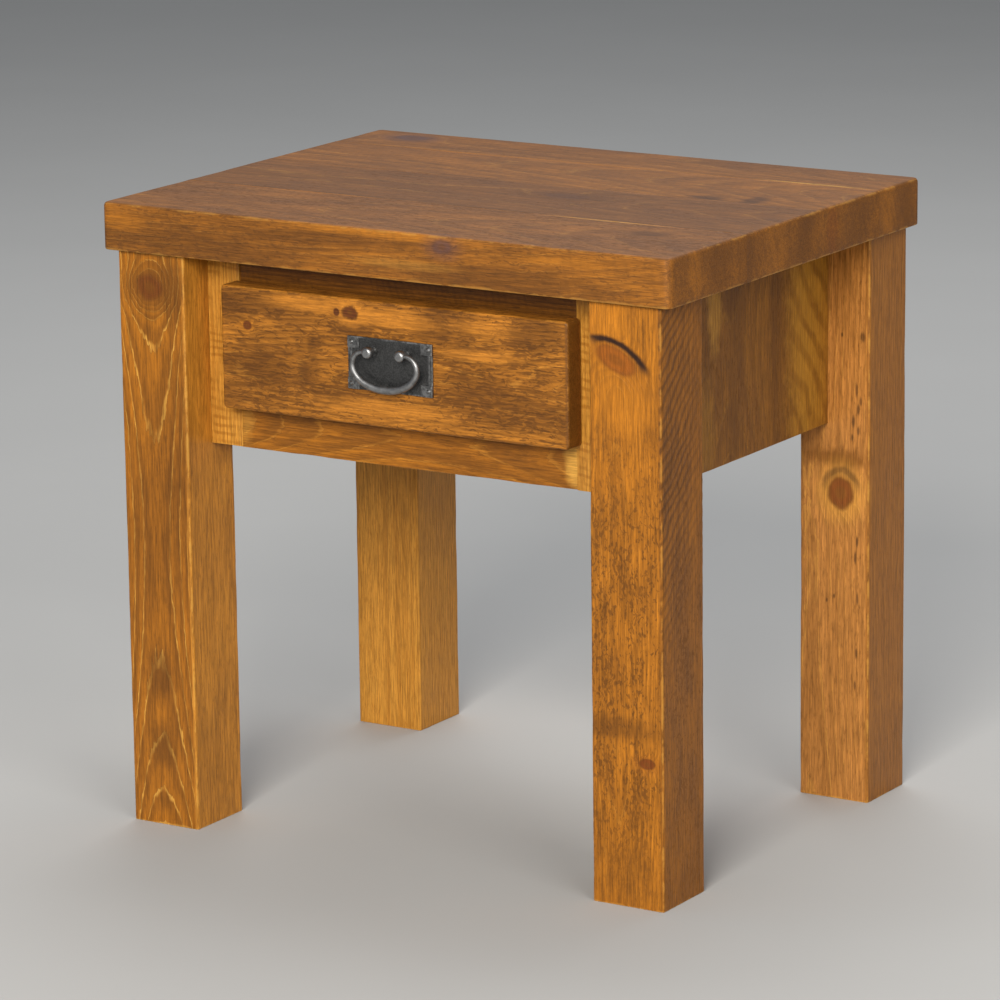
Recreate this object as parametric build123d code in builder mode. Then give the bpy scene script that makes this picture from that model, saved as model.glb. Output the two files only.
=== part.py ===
"""Rustic side table with one drawer on ball-bearing runners and a hanging bail pull.

Units are millimetres. The origin is on the floor at the middle of the top's outline,
+X is to the right, the drawer faces -Y and +Z is up.
"""

from build123d import *
import os

os.makedirs("parts", exist_ok=True)

# ---- table: overall sizes -------------------------------------------------
overall_width = 622.0
overall_depth = 482.0
overall_height = 610.0
top_thickness = 46.0
side_overhang = 13.0
front_overhang = 6.5
back_overhang = 2.5
leg_size = 76.0
apron_height = 188.0

# ---- top: glued boards, rear to front; the front board takes what is left --
rear_board_width = 85.0
mid_rear_board_width = 119.0
mid_front_board_width = 138.0
top_corner_radius = 7.0
top_edge_radius = 4.0
seam_groove = 0.6

# ---- frame around the drawer, side panels and back panel --------------------
frame_setback = 39.3
frame_thickness = 22.0
stile_width = 36.0
top_rail_height = 34.0
top_rail_setback = 2.0
bottom_rail_height = 50.0
panel_inner_setback = 9.0
panel_thickness = 22.0
tenon_thickness = 10.0
tenon_length = 12.0
tenon_shoulder = 10.0
tenon_offset = 3.0
tenon_clearance = 0.1
hole_end_gap = 1.0
leg_edge_radius = 2.5
frame_edge_radius = 1.2
panel_edge_radius = 0.8

# ---- dowels and top fixings -------------------------------------------------
dowel_diameter = 8.0
dowel_length = 32.0
dowel_clearance = 0.05
dowel_chamfer = 0.8
rail_dowel_edge = 8.0
cleat_width = 24.0
cleat_height = 24.0
cleat_screw_pitch = 110.0
rear_cleat_screw_pitch = 140.0
top_rail_screw_pitch = 200.0
top_screw_bite = 26.0
panel_screw_bite = 11.0
wood_screw_diameter = 4.0
wood_screw_head = 7.6
wood_screw_head_height = 2.6
screw_tip_ratio = 1.5
screw_point_ratio = 0.25
screw_clearance = 0.05
countersink_depth = 0.5

# ---- runners: three-part ball-bearing slides ----------------------------------
runner_height = 45.0
runner_back_clearance = 14.5
runner_setback = 2.2
runner_gauge = 1.2
runner_bend = 1.0
runner_lip = 2.6
member_side_gap = 0.8
inner_flange_gap = 0.6
screw_head_room = 1.2
ball_diameter = 3.5
ball_clearance = 0.05
cage_thickness = 1.0
cage_rim = 0.65
cage_side_gap = 0.45
cage_ball_clearance = 0.1
cage_ball_count = 6
cage_ball_pitch = 20.0
cage_end_margin = 9.0
runner_screw_diameter = 3.5
runner_screw_head = 6.6
runner_screw_head_height = 1.4
runner_screw_length = 13.0
runner_screw_pitch = 150.0
inner_screw_length = 11.0
inner_screw_edge = 40.0
batten_height = 60.0
batten_screw_pitch = 200.0
batten_screw_rise = 18.0

# ---- drawer -------------------------------------------------------------------
drawer_front_thickness = 22.0
drawer_front_side_lap = 5.5
drawer_front_top_lap = 8.0
drawer_front_bottom_lap = 8.0
drawer_front_gap = 1.6
drawer_front_radius = 4.0
drawer_corner_radius = 5.0
drawer_back_edge_radius = 1.0
box_top_clearance = 12.0
box_bottom_clearance = 8.0
box_back_clearance = 18.3
box_front_thickness = 15.0
box_side_thickness = 14.0
box_edge_radius = 1.0
bottom_thickness = 6.0
bottom_rise = 8.0
groove_depth = 7.0
groove_clearance = 0.1
front_screw_inset = 39.3
front_screw_length = 30.0
box_screw_edge = 16.0
box_pin_diameter = 1.8
box_pin_length = 35.0
box_pin_edge = 12.0

# ---- drawer pull ----------------------------------------------------------------
plate_width = 93.0
plate_height = 50.0
plate_thickness = 1.6
plate_pad_width = 8.5
plate_pad_height = 11.0
plate_pad_rise = 0.9
plate_notch = 1.0
plate_ridge = 1.4
plate_ridge_rise = 0.7
plate_corner_radius = 0.8
plate_pin_diameter = 1.6
plate_pin_head = 4.4
plate_pin_head_height = 1.3
plate_pin_head_taper = 40.0
plate_pin_length = 12.0
post_spacing = 36.0
post_rise = 13.0
post_stand_off = 9.6
post_head_diameter = 10.8
post_head_back = 4.4
post_head_front = 4.8
post_head_round = 3.0
post_neck_diameter = 7.0
post_foot_diameter = 9.0
post_foot_height = 1.6
bolt_diameter = 4.0
bolt_clearance = 0.1
nut_width = 7.0
nut_height = 3.2
washer_diameter = 12.0
washer_thickness = 1.0
bolt_tail = 2.0
bail_half_width = 35.5
bail_drop = 34.0
bail_shoulder_drop = 12.5
bail_bottom_diameter = 7.4
bail_tip_diameter = 4.0
bail_stations = 16
bail_tip_clearance = 0.08
bail_tip_depth = 4.0

# ---- places worked out from the sizes ------------------------------------------
LEFT = -1
RIGHT = 1
SIDES = ((LEFT, "left"), (RIGHT, "right"))

leg_height = overall_height - top_thickness
leg_outer_x = overall_width / 2 - side_overhang
leg_inner_x = leg_outer_x - leg_size
leg_front_y = -overall_depth / 2 + front_overhang
front_leg_back_y = leg_front_y + leg_size
leg_rear_y = overall_depth / 2 - back_overhang
rear_leg_front_y = leg_rear_y - leg_size
apron_bottom_z = leg_height - apron_height

frame_front_y = leg_front_y + frame_setback
frame_back_y = frame_front_y + frame_thickness
frame_middle_y = (frame_front_y + frame_back_y) / 2
top_rail_front_y = frame_front_y + top_rail_setback
opening_x = leg_inner_x - stile_width
opening_bottom_z = apron_bottom_z + bottom_rail_height
opening_top_z = leg_height - top_rail_height

panel_inner_x = leg_inner_x + panel_inner_setback
panel_outer_x = panel_inner_x + panel_thickness
back_inner_y = rear_leg_front_y + panel_inner_setback
back_outer_y = back_inner_y + panel_thickness
rear_cleat_x = min(panel_inner_x - cleat_width, leg_inner_x)

front_face_back_y = frame_front_y - drawer_front_gap
front_face_y = front_face_back_y - drawer_front_thickness
front_face_x = opening_x + drawer_front_side_lap
front_face_bottom_z = opening_bottom_z - drawer_front_bottom_lap
front_face_top_z = opening_top_z + drawer_front_top_lap

cage_width = ball_diameter + 2 * cage_rim
middle_web_offset = runner_gauge + runner_screw_head_height + screw_head_room
runner_thickness = (
    middle_web_offset + 2 * runner_gauge + 2 * cage_side_gap + cage_width + member_side_gap
)
box_outer_x = opening_x - runner_thickness
box_inner_x = box_outer_x - box_side_thickness
box_bottom_z = opening_bottom_z + box_bottom_clearance
box_top_z = opening_top_z - box_top_clearance
box_back_y = back_inner_y - box_back_clearance
box_front_inner_y = front_face_back_y + box_front_thickness
box_back_inner_y = box_back_y - box_side_thickness
tray_bottom_z = box_bottom_z + bottom_rise
tray_top_z = tray_bottom_z + bottom_thickness

runner_z = (box_bottom_z + box_top_z) / 2
runner_front_y = frame_front_y + runner_setback
runner_back_y = back_inner_y - runner_back_clearance
runner_length = runner_back_y - runner_front_y
runner_middle_y = (runner_front_y + runner_back_y) / 2
side_middle_y = (front_leg_back_y + rear_leg_front_y) / 2
runner_batten_ys = [side_middle_y + step * runner_screw_pitch / 2 for step in (-1, 1)]
runner_screw_ys = [frame_middle_y] + runner_batten_ys

pull_z = (front_face_bottom_z + front_face_top_z) / 2
plate_front_y = front_face_y - plate_thickness
post_x = post_spacing / 2
post_z = pull_z + post_rise
bail_axis_y = plate_front_y - post_stand_off

side_cleat_screw_spots = [
    (side * (panel_inner_x - cleat_width / 2), side_middle_y + step * cleat_screw_pitch)
    for side in (LEFT, RIGHT)
    for step in (-1, 0, 1)
]
rear_cleat_screw_spots = [
    (step * rear_cleat_screw_pitch, back_inner_y - cleat_width / 2) for step in (-1, 0, 1)
]
top_rail_screw_spots = [
    (side * top_rail_screw_pitch / 2, frame_middle_y + top_rail_setback / 2) for side in (LEFT, RIGHT)
]


# ---- helpers ---------------------------------------------------------------------
def save(piece, node):
    """Label a finished piece and write it under its node name."""
    piece.part.label = node
    export_step(piece.part, f"parts/{node}.step")


def span(side, near, far):
    """Lowest and highest X of a stretch that lies on one side of the middle plane."""
    return min(side * near, side * far), max(side * near, side * far)


def block(xs, ys, zs):
    """Add a plain block between two limits on each axis to the part being built."""
    centre = ((xs[0] + xs[1]) / 2, (ys[0] + ys[1]) / 2, (zs[0] + zs[1]) / 2)
    with Locations(centre):
        Box(xs[1] - xs[0], ys[1] - ys[0], zs[1] - zs[0])


def cut_block(xs, ys, zs):
    """Remove a plain block between two limits on each axis from the part being built."""
    centre = ((xs[0] + xs[1]) / 2, (ys[0] + ys[1]) / 2, (zs[0] + zs[1]) / 2)
    with Locations(centre):
        Box(xs[1] - xs[0], ys[1] - ys[0], zs[1] - zs[0], mode=Mode.SUBTRACT)


def facing(point, direction):
    """A plane at a point whose normal runs along a direction."""
    return Plane(origin=point, z_dir=direction)


def drill(point, direction, diameter, depth):
    """Drill a flat-bottomed round hole from a point along a direction."""
    with BuildSketch(facing(point, direction)) as mouth:
        Circle(diameter / 2)
    extrude(mouth.sketch, amount=depth, mode=Mode.SUBTRACT)


def screw_hole(point, direction, depth, head_depth=0.0):
    """Clearance hole for a wood screw that enters at a point, with a seat for its head."""
    drill(point, direction, wood_screw_diameter + 2 * screw_clearance, depth)
    if head_depth > 0:
        drill(point, direction, wood_screw_head + 2 * screw_clearance, head_depth)


def screw(point, direction, length, diameter, head, head_height):
    """Add a round-headed screw with a pointed end, its head's outer face at a point."""
    tip = screw_tip_ratio * diameter
    with BuildSketch(facing(point, direction)) as head_outline:
        Circle(head / 2)
    extrude(head_outline.sketch, amount=head_height)
    shank_start = Vector(*point) + Vector(*direction) * head_height
    tip_start = Vector(*point) + Vector(*direction) * (length - tip)
    with BuildSketch(facing(shank_start, direction)) as shank:
        Circle(diameter / 2)
    extrude(shank.sketch, amount=length - head_height - tip)
    with BuildSketch(facing(tip_start, direction)) as wide_end:
        Circle(diameter / 2)
    with BuildSketch(facing(tip_start + Vector(*direction) * tip, direction)) as narrow_end:
        Circle(diameter * screw_point_ratio / 2)
    loft(sections=[wide_end.sketch, narrow_end.sketch])


def wood_screw(point, direction, length):
    """Add a wood screw whose head sits just under the surface at a point."""
    seat = Vector(*point) + Vector(*direction) * countersink_depth
    screw(tuple(seat), direction, length, wood_screw_diameter, wood_screw_head, wood_screw_head_height)


def dowel(point, direction):
    """Add a chamfered dowel centred on a point."""
    start = Vector(*point) - Vector(*direction) * (dowel_length / 2)
    body = dowel_length - 2 * dowel_chamfer
    for offset, first, last, height in (
        (0, dowel_diameter - 2 * dowel_chamfer, dowel_diameter, dowel_chamfer),
        (dowel_chamfer, dowel_diameter, dowel_diameter, body),
        (dowel_chamfer + body, dowel_diameter, dowel_diameter - 2 * dowel_chamfer, dowel_chamfer),
    ):
        base = start + Vector(*direction) * offset
        with BuildSketch(facing(base, direction)) as lower:
            Circle(first / 2)
        with BuildSketch(facing(base + Vector(*direction) * height, direction)) as upper:
            Circle(last / 2)
        loft(sections=[lower.sketch, upper.sketch])


def dowel_hole(point, direction):
    """Drill a dowel's half hole from the joint face at a point into one piece."""
    drill(point, direction, dowel_diameter + 2 * dowel_clearance, dowel_length / 2 + hole_end_gap)


# ---- dowel places ------------------------------------------------------------------
def stile_dowel_points(side):
    """Places where a stile is dowelled to its leg, on the leg's inner face."""
    heights = (
        apron_bottom_z + bottom_rail_height / 2,
        runner_z - runner_height,
        leg_height - top_rail_height / 2,
    )
    return [(side * leg_inner_x, frame_middle_y, height) for height in heights]


def rail_dowel_points(side, low, high):
    """Places where a rail is dowelled to a stile, on the stile's inner edge."""
    middle_y = frame_middle_y + top_rail_setback / 2
    return [
        (side * opening_x, middle_y, height)
        for height in (low + rail_dowel_edge, high - rail_dowel_edge)
    ]


# ---- top ------------------------------------------------------------------------------
seam_ys = [overall_depth / 2 - rear_board_width]
seam_ys.append(seam_ys[-1] - mid_rear_board_width)
seam_ys.append(seam_ys[-1] - mid_front_board_width)

with BuildPart() as slab:
    block(
        (-overall_width / 2, overall_width / 2),
        (-overall_depth / 2, overall_depth / 2),
        (leg_height, overall_height),
    )
    fillet(slab.edges().filter_by(Axis.Z), top_corner_radius)
    fillet(slab.faces().sort_by(Axis.Z)[-1].edges(), top_edge_radius)
    fillet(slab.faces().sort_by(Axis.Z)[0].edges(), top_edge_radius / 2)
    for seam_y in seam_ys:
        with BuildSketch(Plane.YZ.offset(-overall_width / 2)):
            with BuildLine():
                Polyline(
                    (seam_y - seam_groove, overall_height),
                    (seam_y, overall_height - seam_groove),
                    (seam_y + seam_groove, overall_height),
                    close=True,
                )
            make_face()
        extrude(amount=overall_width, mode=Mode.SUBTRACT)
    for screw_x, screw_y in side_cleat_screw_spots + rear_cleat_screw_spots + top_rail_screw_spots:
        drill(
            (screw_x, screw_y, leg_height),
            (0, 0, 1),
            wood_screw_diameter + 2 * screw_clearance,
            top_screw_bite + hole_end_gap,
        )

board_limits = [overall_depth] + seam_ys + [-overall_depth]
for board_index, board_name in enumerate(("rear", "mid_rear", "mid_front", "front")):
    with BuildPart() as top_board:
        add(slab.part)
        split(bisect_by=Plane.XZ.offset(-board_limits[board_index]), keep=Keep.TOP)
        split(bisect_by=Plane.XZ.offset(-board_limits[board_index + 1]), keep=Keep.BOTTOM)
    save(top_board, f"top_board_{board_name}")


# ---- legs --------------------------------------------------------------------------------
def mortise(xs, ys):
    """Cut a panel's mortise, as high as the tenon and its clearance."""
    cut_block(
        xs,
        ys,
        (
            apron_bottom_z + tenon_shoulder - tenon_clearance,
            leg_height - tenon_shoulder + tenon_clearance,
        ),
    )


side_tenon_x = (panel_inner_x + panel_outer_x) / 2 + tenon_offset
back_tenon_y = (back_inner_y + back_outer_y) / 2 + tenon_offset
mortise_half = tenon_thickness / 2 + tenon_clearance
mortise_depth = tenon_length + hole_end_gap


def leg(side, front_y):
    """One square post with eased edges, before its joints are cut."""
    block(span(side, leg_inner_x, leg_outer_x), (front_y, front_y + leg_size), (0, leg_height))
    fillet(edges().filter_by(Axis.Z), leg_edge_radius)
    chamfer(faces().sort_by(Axis.Z)[0].edges(), leg_edge_radius / 2)


for side, side_name in SIDES:
    side_mortise_xs = span(side, side_tenon_x - mortise_half, side_tenon_x + mortise_half)
    with BuildPart() as front_leg:
        leg(side, leg_front_y)
        mortise(side_mortise_xs, (front_leg_back_y - mortise_depth, front_leg_back_y))
        for spot in stile_dowel_points(side):
            dowel_hole(spot, (side, 0, 0))
    save(front_leg, f"leg_front_{side_name}")

    with BuildPart() as rear_leg:
        leg(side, rear_leg_front_y)
        mortise(side_mortise_xs, (rear_leg_front_y, rear_leg_front_y + mortise_depth))
        mortise(
            span(side, leg_inner_x, leg_inner_x + mortise_depth),
            (back_tenon_y - mortise_half, back_tenon_y + mortise_half),
        )
    save(rear_leg, f"leg_rear_{side_name}")

# ---- face frame -----------------------------------------------------------------------------
rail_spans = (
    ("top", opening_top_z, leg_height, top_rail_front_y),
    ("bottom", apron_bottom_z, opening_bottom_z, frame_front_y),
)

for side, side_name in SIDES:
    with BuildPart() as stile:
        block(
            span(side, opening_x, leg_inner_x),
            (frame_front_y, frame_back_y),
            (apron_bottom_z, leg_height),
        )
        fillet(stile.faces().sort_by(Axis.Y)[0].edges().filter_by(Axis.Z), frame_edge_radius)
        for spot in stile_dowel_points(side):
            dowel_hole(spot, (-side, 0, 0))
        for rail_name, low, high, front_y in rail_spans:
            for spot in rail_dowel_points(side, low, high):
                dowel_hole(spot, (side, 0, 0))
        drill(
            (side * opening_x, frame_middle_y, runner_z),
            (side, 0, 0),
            runner_screw_diameter + 2 * screw_clearance,
            runner_screw_length,
        )
    save(stile, f"front_stile_{side_name}")

for rail_name, low, high, front_y in rail_spans:
    with BuildPart() as rail:
        block((-opening_x, opening_x), (front_y, frame_back_y), (low, high))
        fillet(rail.faces().sort_by(Axis.Y)[0].edges().filter_by(Axis.X), frame_edge_radius)
        for side in (LEFT, RIGHT):
            for spot in rail_dowel_points(side, low, high):
                dowel_hole(spot, (-side, 0, 0))
        if rail_name == "top":
            for screw_x, screw_y in top_rail_screw_spots:
                screw_hole(
                    (screw_x, screw_y, opening_top_z),
                    (0, 0, 1),
                    top_rail_height,
                    countersink_depth + wood_screw_head_height,
                )
    save(rail, f"front_{rail_name}_rail")

with BuildPart() as frame_dowels:
    for side in (LEFT, RIGHT):
        for spot in stile_dowel_points(side):
            dowel(spot, (1, 0, 0))
        for rail_name, low, high, front_y in rail_spans:
            for spot in rail_dowel_points(side, low, high):
                dowel(spot, (1, 0, 0))
save(frame_dowels, "frame_dowels")

# ---- side panels, back panel and the wooden fixings behind them ---------------------------------
tenon_zs = (apron_bottom_z + tenon_shoulder, leg_height - tenon_shoulder)
batten_zs = (runner_z - batten_height / 2, runner_z + batten_height / 2)
batten_screw_spots = [
    (side_middle_y + step * batten_screw_pitch / 2, runner_z + rise * batten_screw_rise)
    for step in (-1, 1)
    for rise in (-1, 1)
]
cleat_zs = (leg_height - cleat_height, leg_height)
cleat_side_screw_ys = [side_middle_y + step * cleat_screw_pitch for step in (-0.5, 0.5)]
cleat_side_z = leg_height - cleat_height / 2
panel_hole_depth = panel_screw_bite + hole_end_gap

for side, side_name in SIDES:
    with BuildPart() as side_panel:
        block(
            span(side, panel_inner_x, panel_outer_x),
            (front_leg_back_y, rear_leg_front_y),
            (apron_bottom_z, leg_height),
        )
        fillet(side_panel.edges().filter_by(Axis.Y), panel_edge_radius)
        block(
            span(side, side_tenon_x - tenon_thickness / 2, side_tenon_x + tenon_thickness / 2),
            (front_leg_back_y - tenon_length, rear_leg_front_y + tenon_length),
            tenon_zs,
        )
        for screw_y, screw_z in batten_screw_spots:
            screw_hole((side * panel_inner_x, screw_y, screw_z), (side, 0, 0), panel_hole_depth)
        for screw_y in cleat_side_screw_ys:
            screw_hole((side * panel_inner_x, screw_y, cleat_side_z), (side, 0, 0), panel_hole_depth)
    save(side_panel, f"side_panel_{side_name}")

    with BuildPart() as batten:
        block(span(side, opening_x, panel_inner_x), (front_leg_back_y, rear_leg_front_y), batten_zs)
        chamfer(batten.faces().sort_by(Axis.X)[-1 if side == LEFT else 0].edges(), panel_edge_radius)
        for screw_y, screw_z in batten_screw_spots:
            screw_hole(
                (side * opening_x, screw_y, screw_z),
                (side, 0, 0),
                panel_inner_x - opening_x,
                countersink_depth + wood_screw_head_height,
            )
        for screw_y in runner_batten_ys:
            drill(
                (side * opening_x, screw_y, runner_z),
                (side, 0, 0),
                runner_screw_diameter + 2 * screw_clearance,
                runner_screw_length,
            )
    save(batten, f"runner_batten_{side_name}")

    with BuildPart() as side_cleat:
        block(
            span(side, panel_inner_x - cleat_width, panel_inner_x),
            (front_leg_back_y, rear_leg_front_y),
            cleat_zs,
        )
        for screw_x, screw_y in side_cleat_screw_spots:
            if screw_x * side > 0:
                screw_hole(
                    (screw_x, screw_y, cleat_zs[0]),
                    (0, 0, 1),
                    cleat_height,
                    countersink_depth + wood_screw_head_height,
                )
        for screw_y in cleat_side_screw_ys:
            screw_hole(
                (side * (panel_inner_x - cleat_width), screw_y, cleat_side_z),
                (side, 0, 0),
                cleat_width,
                countersink_depth + wood_screw_head_height,
            )
    save(side_cleat, f"top_cleat_{side_name}")

back_cleat_screw_xs = [step * rear_cleat_screw_pitch for step in (-0.5, 0.5)]

with BuildPart() as back_panel:
    block((-leg_inner_x, leg_inner_x), (back_inner_y, back_outer_y), (apron_bottom_z, leg_height))
    fillet(back_panel.edges().filter_by(Axis.X), panel_edge_radius)
    block(
        (-leg_inner_x - tenon_length, leg_inner_x + tenon_length),
        (back_tenon_y - tenon_thickness / 2, back_tenon_y + tenon_thickness / 2),
        tenon_zs,
    )
    for screw_x in back_cleat_screw_xs:
        screw_hole((screw_x, back_inner_y, cleat_side_z), (0, 1, 0), panel_hole_depth)
save(back_panel, "back_panel")

with BuildPart() as rear_cleat:
    block((-rear_cleat_x, rear_cleat_x), (back_inner_y - cleat_width, back_inner_y), cleat_zs)
    for screw_x, screw_y in rear_cleat_screw_spots:
        screw_hole(
            (screw_x, screw_y, cleat_zs[0]),
            (0, 0, 1),
            cleat_height,
            countersink_depth + wood_screw_head_height,
        )
    for screw_x in back_cleat_screw_xs:
        screw_hole(
            (screw_x, back_inner_y - cleat_width, cleat_side_z),
            (0, 1, 0),
            cleat_width,
            countersink_depth + wood_screw_head_height,
        )
save(rear_cleat, "top_cleat_rear")

with BuildPart() as top_screws:
    for screw_x, screw_y in side_cleat_screw_spots + rear_cleat_screw_spots:
        wood_screw((screw_x, screw_y, cleat_zs[0]), (0, 0, 1), cleat_height + top_screw_bite)
    for screw_x, screw_y in top_rail_screw_spots:
        wood_screw((screw_x, screw_y, opening_top_z), (0, 0, 1), top_rail_height + top_screw_bite)
save(top_screws, "top_fixing_screws")

with BuildPart() as panel_screws:
    for side in (LEFT, RIGHT):
        for screw_y, screw_z in batten_screw_spots:
            wood_screw(
                (side * opening_x, screw_y, screw_z),
                (side, 0, 0),
                panel_inner_x - opening_x + panel_screw_bite,
            )
        for screw_y in cleat_side_screw_ys:
            wood_screw(
                (side * (panel_inner_x - cleat_width), screw_y, cleat_side_z),
                (side, 0, 0),
                cleat_width + panel_screw_bite,
            )
    for screw_x in back_cleat_screw_xs:
        wood_screw(
            (screw_x, back_inner_y - cleat_width, cleat_side_z),
            (0, 1, 0),
            cleat_width + panel_screw_bite,
        )
save(panel_screws, "panel_fixing_screws")

# ---- ball-bearing runners ------------------------------------------------------------------------
# A runner is three nested channels. The cabinet member's web is screwed to the table, the
# drawer member's web to the drawer box, and balls in flat cages run between their flanges.
outer_half = runner_height / 2
ball_gap = ball_diameter + 2 * ball_clearance
middle_half = outer_half - runner_gauge - ball_gap
inner_half = middle_half - runner_gauge - ball_gap
outer_flange_x = box_outer_x + member_side_gap
middle_web_x = opening_x - middle_web_offset
inner_flange_x = middle_web_x - runner_gauge - inner_flange_gap
ball_x = (outer_flange_x + middle_web_x) / 2
outer_ball_z = outer_half - runner_gauge - ball_gap / 2
inner_ball_z = middle_half - runner_gauge - ball_gap / 2
drawer_screw_ys = [runner_front_y + inner_screw_edge, runner_middle_y, runner_back_y - inner_screw_edge]


def channel(side, web_x, open_x, half_height, lip):
    """Extrude one channel of folded sheet; its outside faces lie at the given limits."""
    shift = runner_gauge / 2
    toward_open = 1 if open_x > web_x else -1
    web = side * (web_x + toward_open * shift)
    tip = side * (open_x - toward_open * shift)
    height = half_height - shift
    corners = [(web, -height), (web, height), (tip, height)]
    corners = [(tip, -height)] + corners
    if lip > 0:
        corners = [(tip, -half_height + lip)] + corners + [(tip, half_height - lip)]
    with BuildSketch(Plane.XZ.offset(-runner_back_y)) as profile:
        with BuildLine():
            FilletPolyline(*[(x, z + runner_z) for x, z in corners], radius=runner_bend)
        trace(line_width=runner_gauge)
    extrude(profile.sketch, amount=runner_length)


def ball_ys():
    """Places of one row of balls along a cage, centred on the runner."""
    middle = (cage_ball_count - 1) / 2
    return [runner_middle_y + (index - middle) * cage_ball_pitch for index in range(cage_ball_count)]


cage_half_length = (cage_ball_count - 1) / 2 * cage_ball_pitch + cage_end_margin


for side, side_name in SIDES:
    with BuildPart() as cabinet_member:
        channel(side, opening_x, outer_flange_x, outer_half, runner_lip)
        for screw_y in runner_screw_ys:
            drill(
                (side * (opening_x - runner_gauge), screw_y, runner_z),
                (side, 0, 0),
                runner_screw_diameter + 2 * screw_clearance,
                runner_gauge,
            )
    save(cabinet_member, f"runner_cabinet_{side_name}")

    with BuildPart() as middle_member:
        channel(side, middle_web_x, outer_flange_x, middle_half, runner_lip)
    save(middle_member, f"runner_middle_{side_name}")

    with BuildPart() as drawer_member:
        channel(side, box_outer_x, inner_flange_x, inner_half, 0)
        for screw_y in drawer_screw_ys:
            drill(
                (side * box_outer_x, screw_y, runner_z),
                (side, 0, 0),
                runner_screw_diameter + 2 * screw_clearance,
                runner_gauge,
            )
    save(drawer_member, f"runner_drawer_{side_name}")

    for cage_name, ball_z in (("outer", outer_ball_z), ("inner", inner_ball_z)):
        with BuildPart() as cage:
            for level in (runner_z - ball_z, runner_z + ball_z):
                block(
                    (side * ball_x - cage_width / 2, side * ball_x + cage_width / 2),
                    (runner_middle_y - cage_half_length, runner_middle_y + cage_half_length),
                    (level - cage_thickness / 2, level + cage_thickness / 2),
                )
            with BuildSketch(Plane.XY.offset(runner_z - outer_half)):
                with Locations(*[(side * ball_x, ball_y) for ball_y in ball_ys()]):
                    Circle(ball_diameter / 2 + cage_ball_clearance)
            extrude(amount=runner_height, mode=Mode.SUBTRACT)
        save(cage, f"ball_cage_{cage_name}_{side_name}")

        with BuildPart() as balls:
            with Locations(
                *[
                    (side * ball_x, ball_y, level)
                    for ball_y in ball_ys()
                    for level in (runner_z - ball_z, runner_z + ball_z)
                ]
            ):
                Sphere(ball_diameter / 2)
        save(balls, f"balls_{cage_name}_{side_name}")

with BuildPart() as runner_cabinet_screws:
    for side in (LEFT, RIGHT):
        for screw_y in runner_screw_ys:
            screw(
                (side * (opening_x - runner_gauge - runner_screw_head_height), screw_y, runner_z),
                (side, 0, 0),
                runner_screw_length,
                runner_screw_diameter,
                runner_screw_head,
                runner_screw_head_height,
            )
save(runner_cabinet_screws, "runner_cabinet_screws")

with BuildPart() as runner_drawer_screws:
    for side in (LEFT, RIGHT):
        for screw_y in drawer_screw_ys:
            screw(
                (side * (box_outer_x + runner_gauge + runner_screw_head_height), screw_y, runner_z),
                (-side, 0, 0),
                inner_screw_length,
                runner_screw_diameter,
                runner_screw_head,
                runner_screw_head_height,
            )
save(runner_drawer_screws, "runner_drawer_screws")

# ---- drawer ------------------------------------------------------------------------------------------
front_screw_spots = [
    (side * (box_inner_x - front_screw_inset), height)
    for side in (LEFT, RIGHT)
    for height in (box_bottom_z + box_screw_edge + bottom_rise, box_top_z - box_screw_edge)
]
pull_bolt_xs = [side * post_x for side in (LEFT, RIGHT)]
plate_pin_spots = [
    (x * (plate_width - plate_pad_width) / 2, pull_z + z * (plate_height - plate_pad_height) / 2)
    for x in (-1, 1)
    for z in (-1, 1)
]
bolt_hole = bolt_diameter + 2 * bolt_clearance
pin_hole = plate_pin_diameter + 2 * screw_clearance

with BuildPart() as drawer_front:
    block(
        (-front_face_x, front_face_x),
        (front_face_y, front_face_back_y),
        (front_face_bottom_z, front_face_top_z),
    )
    fillet(drawer_front.edges().filter_by(Axis.Y), drawer_corner_radius)
    fillet(drawer_front.faces().sort_by(Axis.Y)[0].edges(), drawer_front_radius)
    fillet(drawer_front.faces().sort_by(Axis.Y)[-1].edges(), drawer_back_edge_radius)
    for screw_x, screw_z in front_screw_spots:
        screw_hole(
            (screw_x, front_face_back_y, screw_z),
            (0, -1, 0),
            front_screw_length - box_front_thickness + countersink_depth + hole_end_gap,
        )
    for bolt_x in pull_bolt_xs:
        drill((bolt_x, front_face_y, post_z), (0, 1, 0), bolt_hole, drawer_front_thickness)
    for pin_x, pin_z in plate_pin_spots:
        drill((pin_x, front_face_y, pin_z), (0, 1, 0), pin_hole, plate_pin_length)
save(drawer_front, "drawer_front")

box_zs = (box_bottom_z, box_top_z)
groove_zs = (tray_bottom_z - groove_clearance, tray_top_z + groove_clearance)
groove_x = box_inner_x + groove_depth
tray_x = groove_x - hole_end_gap
tray_ys = (
    box_front_inner_y - groove_depth + hole_end_gap,
    box_back_inner_y + groove_depth - hole_end_gap,
)
box_pin_zs = (box_bottom_z + bottom_rise + box_pin_edge, box_top_z - box_pin_edge)
box_pin_ys = (
    front_face_back_y + box_front_thickness / 2,
    box_back_y - box_side_thickness / 2,
)
box_pin_spots = [(pin_y, pin_z) for pin_y in box_pin_ys for pin_z in box_pin_zs]
box_pin_hole = box_pin_diameter + 2 * screw_clearance


def box_pin_holes(side, start_x, depth):
    """Drill the holes of the pins that nail one drawer side to the box's ends."""
    for pin_y, pin_z in box_pin_spots:
        drill((side * start_x, pin_y, pin_z), (-side, 0, 0), box_pin_hole, depth)


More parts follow.
